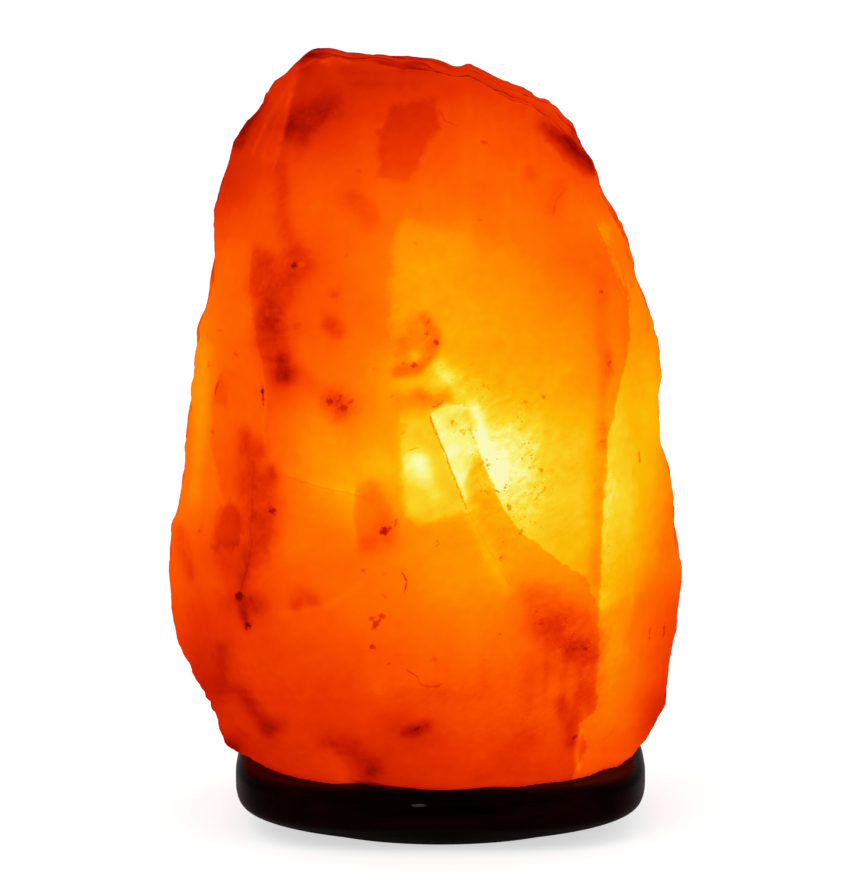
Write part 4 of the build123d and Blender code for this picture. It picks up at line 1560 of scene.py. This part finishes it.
@dataclass(frozen=True)
class SaltBlock:
    """The hewn block: its outline, relief and what its points store. Lengths in millimetres."""

    view: PhotoView
    voxel: float = 1.74
    seat: float = 19.0
    bore_radius: float = 22.0
    bore_top: float = 147.0
    front_slope: float = -0.25  # faces whose normal's Y lies below this get the finer mesh
    relief: tuple[ReliefLayer, ...] = (
        ReliefLayer(ReliefKind.LUMPS, 30.0, 2.4),
        ReliefLayer(ReliefKind.SCOOPS, 15.0, 1.6, 0.45),
        ReliefLayer(ReliefKind.LUMPS, 8.0, 1.5),
        ReliefLayer(ReliefKind.LUMPS, 3.4, 0.6),
    )
    # The foot
    foot_bins: int = 90
    foot_rounds: int = 14
    foot_oval: tuple[float, float] = (59.0, 49.8)
    foot_blend: float = 26.0
    front_dip: float = 0.9  # how far the front of the foot hangs over the base's rounded edge
    dip_reach: tuple[float, float] = (42.0, 49.0)
    dip_blend: float = 9.0
    # The outline's fit: first, last and step of its rows and columns, in pixels
    fit_rows: tuple[float, float, float] = (80.0, 760.0, 4.0)
    fit_columns: tuple[float, float, float] = (252.0, 586.0, 4.0)
    top_rows: tuple[float, float] = (110.0, 150.0)  # the sides aren't fitted above these
    top_heights: tuple[float, float] = (160.0, 200.0)  # the top is fitted above these
    # The light
    bulb_height: float = 100.0
    wall: float = 45.0
    dim_reach: float = 45.0
    dimmest: float = 0.16
    near_glow: float = 0.80
    bore_glow: float = 0.55
    bore_spread: float = 45.0
    bore_cleanness: float = 0.3
    foot_dimming: float = 0.32
    foot_shade: float = 2.6
    ridge_gleam: float = 0.018
    ridge_height: float = 0.06
    # Front marks and seeded marks
    to_view: tuple[float, float] = (-0.98, 0.18)  # the way to the camera, in Y and Z
    front_facing: tuple[float, float] = (-0.25, 0.10)
    front_depths: tuple[float, float] = (-30.0, -5.0)
    hand_over: float = 11.0  # how far the line between the two wanders
    edge_facing: tuple[float, float] = (0.10, 0.50)
    sway: float = 20.0  # pixels that the marks wander on faces seen edge-on
    middle_radius: float = 70.0
    stand_row: float = 835.0
    upright_share: float = 0.983

    def build(self, source: Piece) -> Piece:
        """Hews the block from the frame's solid.

        Args:
            source: The frame's crystal.

        Returns:
            The finished piece.
        """
        piece = copy_of(source, "salt_block")
        apply_modifier(piece, "REMESH", mode="VOXEL", voxel_size=self.voxel * MM, adaptivity=0.0)
        self.round_foot(piece.data)
        self.fit_outline(piece.data)
        self.refine_front(piece)
        self.carve_relief(piece)
        self.paint(piece.data)
        shade_smooth(piece, 50)
        return piece

    def in_bore(self, places: Array, margin: float) -> Array:
        """Whether points lie within the bore and a margin round it."""
        radial = np.hypot(places[:, 0], places[:, 1])
        low = places[:, 2] < (self.bore_top + margin) * MM
        return (radial < (self.bore_radius + margin) * MM) & low

    def foot_growth(self, radial: Array, turn: Array, height: Array) -> Array:
        """How much the foot grows at each point to reach its soft oval.

        Args:
            radial: The points' distance from the axis.
            turn: Their angle about it.
            height: Their height over the seat.

        Returns:
            A factor for each point.
        """
        count = self.foot_bins
        at_foot = (height < self.voxel * 1.5) & (radial > self.bore_radius + 4.0)
        slot = np.round((turn + math.pi) / (2 * math.pi) * count).astype(int) % count
        reach = np.array([radial[at_foot & (slot == k)].max() for k in range(count)])
        soft = reach.copy()
        for _ in range(self.foot_rounds):
            soft = (np.roll(soft, 1) + 2.0 * soft + np.roll(soft, -1)) / 4.0
        bins = np.linspace(-math.pi, math.pi, count, endpoint=False)
        across, deep = self.foot_oval
        oval = 1.0 / np.sqrt((np.cos(bins) / across) ** 2 + (np.sin(bins) / deep) ** 2)
        aim = np.where(np.sin(bins) < 0.0, oval, 0.5 * (soft + oval))
        wave = sum(0.25 * np.sin(k * bins + 1.7 * k) for k in (5, 9, 14))
        return np.interp(turn, bins, (aim + wave) / reach, period=2 * math.pi)

    def round_foot(self, mesh: Mesh) -> None:
        """Rounds the foot of the block, so that it meets the base along one soft curve.

        Args:
            mesh: The even mesh.
        """
        places = read_points(mesh)
        radial = np.hypot(places[:, 0], places[:, 1]) / MM
        turn = np.arctan2(places[:, 1], places[:, 0])
        height = places[:, 2] / MM - self.seat
        grown = self.foot_growth(radial, turn, height)
        fade = 1.0 - smooth_step(height, 1.0, self.foot_blend)
        fade *= smooth_step(radial, self.bore_radius + 2.0, self.bore_radius + 14.0)
        places[:, :2] *= (1.0 + (grown - 1.0) * fade)[:, None]
        forward = smooth_step(-places[:, 1] / MM, *self.dip_reach)
        low = 1.0 - smooth_step(height, 0.0, self.dip_blend)
        places[:, 2] -= self.front_dip * MM * forward * low
        move_points(mesh, places)

    def fit_outline(self, mesh: Mesh) -> None:
        """Draws the outer points in or out, so that the outline meets the photograph's corners.

        Args:
            mesh: The even mesh.
        """
        places = read_points(mesh)
        x, y = self.view.to_pixels(places)
        scale = self.view.pixels_per_metre
        radial = np.hypot(places[:, 0], places[:, 1]) / MM
        free = smooth_step(radial, self.bore_radius + 4.0, self.bore_radius + 20.0)
        free = np.where(places[:, 2] > (self.bore_top + 6.0) * MM, 1.0, free)
        free *= smooth_step(places[:, 2] / MM, self.seat, self.seat + 5.0)

        rows = np.arange(*self.fit_rows)
        steady = smooth_step(rows, *self.top_rows)
        left, right = edge_at(np.min, x, y, rows), edge_at(np.max, x, y, rows)
        left_move = np.interp(y, rows, (outline_at(LEFT_OUTLINE, 1, rows) - left) * steady)
        right_move = np.interp(y, rows, (outline_at(RIGHT_OUTLINE, 1, rows) - right) * steady)
        across = (x - np.interp(y, rows, left)) / np.interp(y, rows, right - left)
        share = np.clip(across, 0.0, 1.0)
        places[:, 0] += ((1.0 - share) * left_move + share * right_move) * free / scale

        columns = np.arange(*self.fit_columns)
        x, y = self.view.to_pixels(places)
        top = edge_at(np.min, y, x, columns)
        top_move = np.interp(x, columns, top - outline_at(TOP_OUTLINE, 0, columns))
        places[:, 2] += top_move * smooth_step(places[:, 2] / MM, *self.top_heights) / scale
        move_points(mesh, places)

    def refine_front(self, piece: Piece) -> None:
        """Divides the faces that look to the front, where most detail lies.

        Args:
            piece: The block.
        """
        select_only(piece)
        bpy.ops.object.mode_set(mode="EDIT")
        bpy.ops.mesh.select_mode(type="FACE")
        bpy.ops.mesh.select_all(action="DESELECT")
        bpy.ops.object.mode_set(mode="OBJECT")
        outside = (self.bore_radius + 2.0) * MM
        for face in piece.data.polygons:
            from_axis = math.hypot(face.center.x, face.center.y)
            face.select = face.normal.y < self.front_slope and from_axis > outside
        bpy.ops.object.mode_set(mode="EDIT")
        bpy.ops.mesh.subdivide(number_cuts=1)
        bpy.ops.object.mode_set(mode="OBJECT")

    def carve_relief(self, piece: Piece) -> None:
        """Softens the struck edges, then carves the relief, except in the bore and on the seat.

        Args:
            piece: The block.
        """
        places = read_points(piece.data)
        free = smooth_step(places[:, 2], (self.seat + 0.3) * MM, (self.seat + 7.0) * MM)
        free[self.in_bore(places, 1.5)] = 0.0
        group = piece.vertex_groups.new(name="hewn")
        levels = np.round(free, 2)
        for level in np.unique(levels):
            group.add(np.nonzero(levels == level)[0].tolist(), float(level), "REPLACE")
        apply_modifier(piece, "SMOOTH", factor=0.5, iterations=3, vertex_group=group.name)
        for layer in self.relief:
            layer.carve(piece, "hewn")

    def paint(self, mesh: Mesh) -> None:
        """Stores on each point what the finish reads.

        Args:
            mesh: The finished mesh.
        """
        places, normals = read_points(mesh), read_points(mesh, "normal")
        depth, height = places[:, 1] / MM, places[:, 2] / MM
        bore = self.in_bore(places, 1.0)
        facing = self.to_view[0] * normals[:, 1] + self.to_view[1] * normals[:, 2]
        share = smooth_step(facing, *self.front_facing)
        share *= smooth_step(self.hand_over * wander(height) - depth, *self.front_depths)
        share[bore] = 0.0
        dimmed = self.foot_dimming * (
            1.0 - smooth_step(height, self.seat, self.seat + self.foot_shade)
        )
        dimmed[bore] = 0.0

        front, around = self.front_marks(places, facing), self.seeded_marks(places, bore)
        for name, marks in front.items():
            if name in ("glow", "stain", "grit"):
                made = share * marks + (1.0 - share) * around[name]
            else:
                made = np.where(share > 0.5, marks, around[name])
            if name.endswith(("_lift", "_depth")):
                made = made * np.abs(2.0 * share - 1.0)
            if name == "glow":
                # Painted highlight on ridges and painted shade in grooves, added to the glow
                gleam = self.ridge_gleam * self.ridges(mesh, places, normals)
                made = made * (1.0 - dimmed) + gleam
            store(mesh, name, made)

    def front_marks(self, places: Array, facing: Array) -> dict[str, Array]:
        """The photographed front's marks at each point.

        Args:
            places: The points.
            facing: How squarely each faces the camera.

        Returns:
            The channels.
        """
        depth = places[:, 1] / MM
        # On faces seen edge-on the marks would be drawn out into straight bands
        x, y = self.view.to_pixels(places)
        grazing = 1.0 - smooth_step(facing, *self.edge_facing)
        marks = front_inclusions().paint(x, y + self.sway * grazing * wander(depth))
        marks["stain"] *= 1.0 - 0.7 * grazing * smooth_step(wander(depth - 9.0), -0.2, 0.6)
        return marks

    def seeded_marks(self, places: Array, bore: Array) -> dict[str, Array]:
        """The marks of the sides and the back, and the bore's.

        Args:
            places: The points.
            bore: Which of them lie in the bore.

        Returns:
            The channels.
        """
        scale = self.view.pixels_per_metre
        column = np.arctan2(places[:, 0], places[:, 1]) * self.middle_radius * MM * scale
        row = self.stand_row - places[:, 2] * scale * self.upright_share
        marks = SeededInclusions().scatter().paint(column, row)
        marks["glow"] += self.reach_of_light(places)
        from_bulb = (places[bore, 2] / MM - self.bulb_height) / self.bore_spread
        marks["glow"][bore] = self.bore_glow + (1.0 - self.bore_glow) * np.exp(-(from_bulb**2))
        for channel in ("stain", "grit"):
            marks[channel][bore] *= self.bore_cleanness
        return marks

    def reach_of_light(self, places: Array) -> Array:
        """How brightly each point glows by its distance from the bulb."""
        bulb = np.array((0.0, 0.0, self.bulb_height * MM))
        away = np.linalg.norm(places - bulb, axis=1) / MM
        depth = np.maximum(away - self.wall, 0.0) / self.dim_reach
        return self.dimmest + self.near_glow * np.exp(-(depth**1.25))

    def ridges(self, mesh: Mesh, places: Array, normals: Array) -> Array:
        """How far each point stands out from its neighbours, from -1 in a groove to 1 on a ridge.

        Args:
            mesh: The mesh.
            places: Its points.
            normals: Their normals.

        Returns:
            One number for each point.
        """
        ends = np.empty(len(mesh.edges) * 2, np.int32)
        mesh.edges.foreach_get("vertices", ends)
        a, b = ends.reshape(-1, 2).T
        many = len(places)
        count = np.maximum(np.bincount(a, minlength=many) + np.bincount(b, minlength=many), 1)
        mean = np.zeros_like(places)
        np.add.at(mean, a, places[b])
        np.add.at(mean, b, places[a])
        out = ((places - mean / count[:, None]) * normals).sum(1)
        for _ in range(2):
            total = np.zeros_like(out)
            np.add.at(total, a, out[b])
            np.add.at(total, b, out[a])
            out = 0.5 * out + 0.5 * total / count
        return np.clip(out / (self.ridge_height * MM), -1.0, 1.0)


# ---------------------------------------------------------------------------
# The wooden base and the wound pieces
# ---------------------------------------------------------------------------


@dataclass(frozen=True)
class WoodBase:
    """The base as photographed: fuller at its corners and rounded below. Millimetres."""

    half_width: float = 60.3
    half_depth: float = 52.5
    bottom: float = 1.8
    fullness: float = 3.3  # 2 is an ellipse, and more is squarer
    inner: float = 0.78  # share of the outline within which nothing moves
    front_share: float = 0.965
    lift: float = 1.9
    lift_height: float = 8.0

    def build(self, source: Piece) -> Piece:
        """Shapes the base from the frame's solid.

        Args:
            source: The frame's base.

        Returns:
            The finished piece.
        """
        piece = copy_of(source, "turned_base")
        places = read_points(piece.data)
        across = places[:, 0] / (self.half_width * MM)
        deep = places[:, 1] / (self.half_depth * MM)
        reach = np.maximum(np.hypot(across, deep), TIE)
        outer = smooth_step(reach, self.inner, 0.99)
        power = self.fullness
        squared = np.abs(across / reach) ** power + np.abs(deep / reach) ** power
        fuller = squared ** (-1.0 / power)
        places[:, :2] *= (1.0 + (fuller - 1.0) * outer)[:, None]
        front = smooth_step(-deep, 0.2, 0.9)
        places[:, 1] *= 1.0 - (1.0 - self.front_share) * outer * front
        low = 1.0 - smooth_step(places[:, 2] / MM, self.bottom, self.bottom + self.lift_height)
        places[:, 2] += self.lift * MM * low * smooth_step(reach, self.inner, 1.0)
        move_points(piece.data, places)
        shade_smooth(piece, 40)
        return piece


@dataclass(frozen=True)
class ClipSpring:
    """A torsion spring on a clip's pin, one leg on the plate, one in the clip. Millimetres."""

    side: int
    pivot_out: float = 16.5
    pivot_height: float = 16.1
    turn_radius: float = 1.35
    wire_radius: float = 0.27
    half_length: float = 0.9
    turns: int = 3
    leg_height: float = 13.8
    leg_end: float = 19.6
    tip_height: float = 18.9
    bend: float = 0.35
    steps: int = 18

    def build(self, name: str) -> Piece:
        """Winds the spring.

        Args:
            name: The new piece's name.

        Returns:
            The spring.
        """
        outer = self.side * (self.pivot_out + self.turn_radius)
        out, leg = self.side * self.bend, self.leg_height
        path = [
            (self.side * self.leg_end, self.half_length, leg),
            (outer + out, self.half_length, leg),
            (outer + out * 0.3, self.half_length, leg + self.bend * 0.3),
            (outer, self.half_length, leg + self.bend),
        ]
        count = self.turns * self.steps
        for k in range(count + 1):
            turn = math.tau * k / self.steps
            x = self.side * (self.pivot_out + self.turn_radius * math.cos(turn))
            y = self.half_length * (1.0 - 2.0 * k / count)
            path.append((x, y, self.pivot_height + self.turn_radius * math.sin(turn)))
        path.append((outer, -self.half_length, self.tip_height))
        return bent_wire(name, path, self.wire_radius)


@dataclass(frozen=True)
class Filament:
    """A fine wound filament that arches between the ends of the lead wires. Millimetres."""

    half_span: float = 7.0
    height: float = 99.45
    rise: float = 1.75
    turn_radius: float = 0.36
    wire_radius: float = 0.075
    turns: int = 40
    steps: int = 10

    def build(self, name: str) -> Piece:
        """Winds the filament.

        Args:
            name: The new piece's name.

        Returns:
            The filament.
        """
        count = self.turns * self.steps
        path = []
        for k in range(count + 1):
            along = 2.0 * k / count - 1.0
            turn = math.tau * k / self.steps
            slope = -2.0 * self.rise * along / self.half_span
            out = self.turn_radius * math.sin(turn)
            x = self.half_span * along - out * slope
            z = self.height + self.rise * (1.0 - along**2) + out
            path.append((x, self.turn_radius * math.cos(turn), z))
        return bent_wire(name, path, self.wire_radius)


# ---------------------------------------------------------------------------
# The studio
# ---------------------------------------------------------------------------


@dataclass(frozen=True)
class Studio:
    """A pale floor, a white surround and soft light."""

    floor_size: float = 14.0
    floor_white: float = 0.80
    floor_shown: float = 0.60
    surround: float = 0.62
    reflected: float = 0.28
    key_power: float = 9.0
    lamp_size: float = 1.4
    aim: Place = (0.0, 0.0, 0.1)

    def build(self) -> None:
        """Adds floor, world and lamps."""
        self.make_world()
        self.make_floor()
        self.add_lamp("key", (-1.1, -1.6, 1.9), self.key_power)
        self.add_lamp("fill", (1.6, -1.2, 1.1), self.key_power * 0.4)

    def seen(self, bench: Bench, path: Node) -> Socket:
        """1 where the camera sees a surface itself or through glass."""
        rays = (path.outputs["Is Camera Ray"], path.outputs["Is Transmission Ray"])
        return bench.math("MAXIMUM", *rays)

    def make_world(self) -> None:
        """A white surround that lights softly and shows as white."""
        world = bpy.data.worlds.new("surround")
        bpy.context.scene.world = world
        world.use_nodes = True
        bench = Bench(world.node_tree)
        path = bench.add("LightPath")
        glossy = path.outputs["Is Glossy Ray"]
        strength = bench.sum(
            self.surround,
            bench.times(self.seen(bench, path), 1.0 - self.surround),
            bench.times(glossy, self.reflected - self.surround),
        )
        bench.fill(world.node_tree.nodes["Background"], Color=WHITE, Strength=strength)

    def make_floor(self) -> None:
        """A pale floor that keeps the shadow, and that nothing hides behind from below."""
        bpy.ops.mesh.primitive_plane_add(size=self.floor_size, location=(0, 0, 0))
        floor = bpy.context.object
        floor.name = "floor"
        material = bpy.data.materials.new("pale_floor")
        material.use_nodes = True
        bench = Bench(material.node_tree)
        shader = material.node_tree.nodes["Principled BSDF"]
        shown = self.seen(bench, bench.add("LightPath"))
        grain = bench.noise(bench.places(), 30.0, 2.0, 0.5)
        white = self.floor_white
        bench.fill(
            shader,
            Base_Color=bench.mix(grain, (white,) * 3, (white * 0.98,) * 3),
            Roughness=0.9,
            Specular_IOR_Level=0.0,
            Emission_Color=WHITE,
            Emission_Strength=bench.times(shown, self.floor_shown),
        )
        # Seen from below the floor is clear, so the underside can be looked at
        clear = bench.add("BsdfTransparent").outputs[0]
        under = bench.add("NewGeometry").outputs["Backfacing"]
        blend = bench.add("MixShader")
        bench.fill(blend, bench.times(under, shown), shader.outputs[0], clear)
        bench.fill(material.node_tree.nodes["Material Output"], blend.outputs[0])
        dress(floor, material)

    def add_lamp(self, name: str, place: Place, power: float) -> None:
        """Adds a soft lamp aimed at the object.

        Args:
            name: The lamp's name.
            place: Where it stands.
            power: Its power in watts.
        """
        bpy.ops.object.light_add(type="AREA", location=place)
        lamp = bpy.context.object
        lamp.name = name
        lamp.data.energy = power
        lamp.data.size = self.lamp_size
        lamp.rotation_mode = "QUATERNION"
        lamp.rotation_quaternion = (Vector(self.aim) - Vector(place)).to_track_quat("-Z", "Y")


# ---------------------------------------------------------------------------
# Dressing the frame
# ---------------------------------------------------------------------------

ZINC = MetalFinish("zinc_plate", (0.70, 0.72, 0.74), (0.46, 0.47, 0.47), 0.30)
SHEET = MetalFinish(
    "plate_steel", (0.62, 0.63, 0.65), (0.42, 0.42, 0.42), 0.34, 700.0, (0.08, 1.0, 1.0)
)
SPRING = MetalFinish(
    "spring_steel", (0.42, 0.42, 0.44), (0.24, 0.23, 0.24), 0.28, 900.0, (1.0, 0.1, 1.0)
)
BRASS = MetalFinish("brass", (0.80, 0.55, 0.20), (0.50, 0.30, 0.10), 0.26)
ALUMINIUM = MetalFinish(
    "cap_aluminium", (0.80, 0.80, 0.80), (0.60, 0.60, 0.60), 0.34, 800.0, (1.0, 1.0, 0.1)
)
SOLDER = MetalFinish(
    "solder", (0.62, 0.62, 0.64), (0.40, 0.40, 0.42), 0.40, 600.0, (1.0, 1.0, 1.0)
)
WIRE = MetalFinish("lead_wire", (0.62, 0.54, 0.46), (0.40, 0.34, 0.30), 0.35)
RUBBER = MouldedFinish("foot_rubber", (0.030, 0.030, 0.032), (0.018, 0.018, 0.019), 0.75, 0.08)
NYLON = MouldedFinish("plug_nylon", (0.62, 0.60, 0.55), (0.50, 0.48, 0.43), 0.5, 0.05)
BAKELITE = MouldedFinish(
    "bakelite", (0.012, 0.011, 0.011), (0.022, 0.016, 0.014), 0.22, 0.02, 0.4
)
BUSH = MouldedFinish("bush_plastic", (0.02, 0.02, 0.021), (0.035, 0.034, 0.033), 0.5, 0.04)
CERAMIC = MouldedFinish("ceramic_white", (0.80, 0.77, 0.71), (0.68, 0.63, 0.55), 0.35, 0.03, 0.3)
VITRITE = MouldedFinish("glass_black", (0.008, 0.008, 0.012), (0.02, 0.02, 0.03), 0.08, 0.01, 0.2)

# Each finish and the frame's parts that get it
FRAME_FINISHES: tuple[tuple[Finish, str], ...] = (
    (SaltFinish(), "salt_crystal"),
    (WoodFinish(), "wood_base"),
    (RUBBER, "foot_ring"),
    (NYLON, "crystal_plugs"),
    (ZINC, "base_screws screw_washers clip_pins nipple_nut lock_washer"),
    (SHEET, "holder_plate"),
    (BRASS, "nipple socket_shell centre_contact side_contact terminal_screws"),
    (BUSH, "cord_bush"),
    (BAKELITE, "socket_cap socket_skirt"),
    (CERAMIC, "socket_core"),
    (SPRING, "clip_left clip_right clip_spring_left clip_spring_right"),
    (SOLDER, "bulb_contact"),
    (ALUMINIUM, "bulb_cap"),
    (VITRITE, "bulb_insulator"),
    (GlassFinish(), "bulb_glass bulb_stem"),
    (WIRE, "lead_wires"),
    (FilamentFinish(), "filament"),
)


def dress_frame(nodes: dict[str, Piece], effects: Effects) -> None:
    """Gives every part of the frame its finish.

    Args:
        nodes: The frame's parts by name.
        effects: The shared node groups.
    """
    for finish, names in FRAME_FINISHES:
        material = finish.make(effects)
        for name in names.split():
            dress(nodes[name], material)
        log.info("%s: %s", finish.name, names)


def put(piece: Piece, node: Piece, body: str) -> None:
    """Puts a new piece in a part's place, in the same finish.

    Args:
        piece: The new piece.
        node: The frame's part.
        body: The body that carries it.
    """
    dress(piece, node.data.materials[0])
    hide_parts(node.name)
    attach(piece, body)
    log.info("%s: %d points", piece.name, len(piece.data.vertices))


# ---------------------------------------------------------------------------
# The whole scene
# ---------------------------------------------------------------------------


def main() -> None:
    """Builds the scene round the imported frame."""
    logging.basicConfig(level=logging.INFO, format="%(name)s: %(message)s")
    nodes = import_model()["nodes"]
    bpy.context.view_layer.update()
    bpy.context.scene.view_settings.view_transform = "Standard"

    view = PhotoView()
    view.make_camera()
    Studio().build()
    effects = {
        SharedEffect.MOTTLE: build_mottle(),
        SharedEffect.SPECKS: build_specks(),
        SharedEffect.SCUFFS: build_scuffs(),
    }
    dress_frame(nodes, effects)

    block = SaltBlock(view).build(nodes["salt_crystal"])
    put(block, nodes["salt_crystal"], "lamp")
    put(WoodBase().build(nodes["wood_base"]), nodes["wood_base"], "lamp")
    for side, name in ((-1, "left"), (1, "right")):
        spring = ClipSpring(side).build("wound_spring_" + name)
        put(spring, nodes["clip_spring_" + name], "holder")
    put(Filament().build("wound_filament"), nodes["filament"], "bulb")


if __name__ == "__main__":
    main()
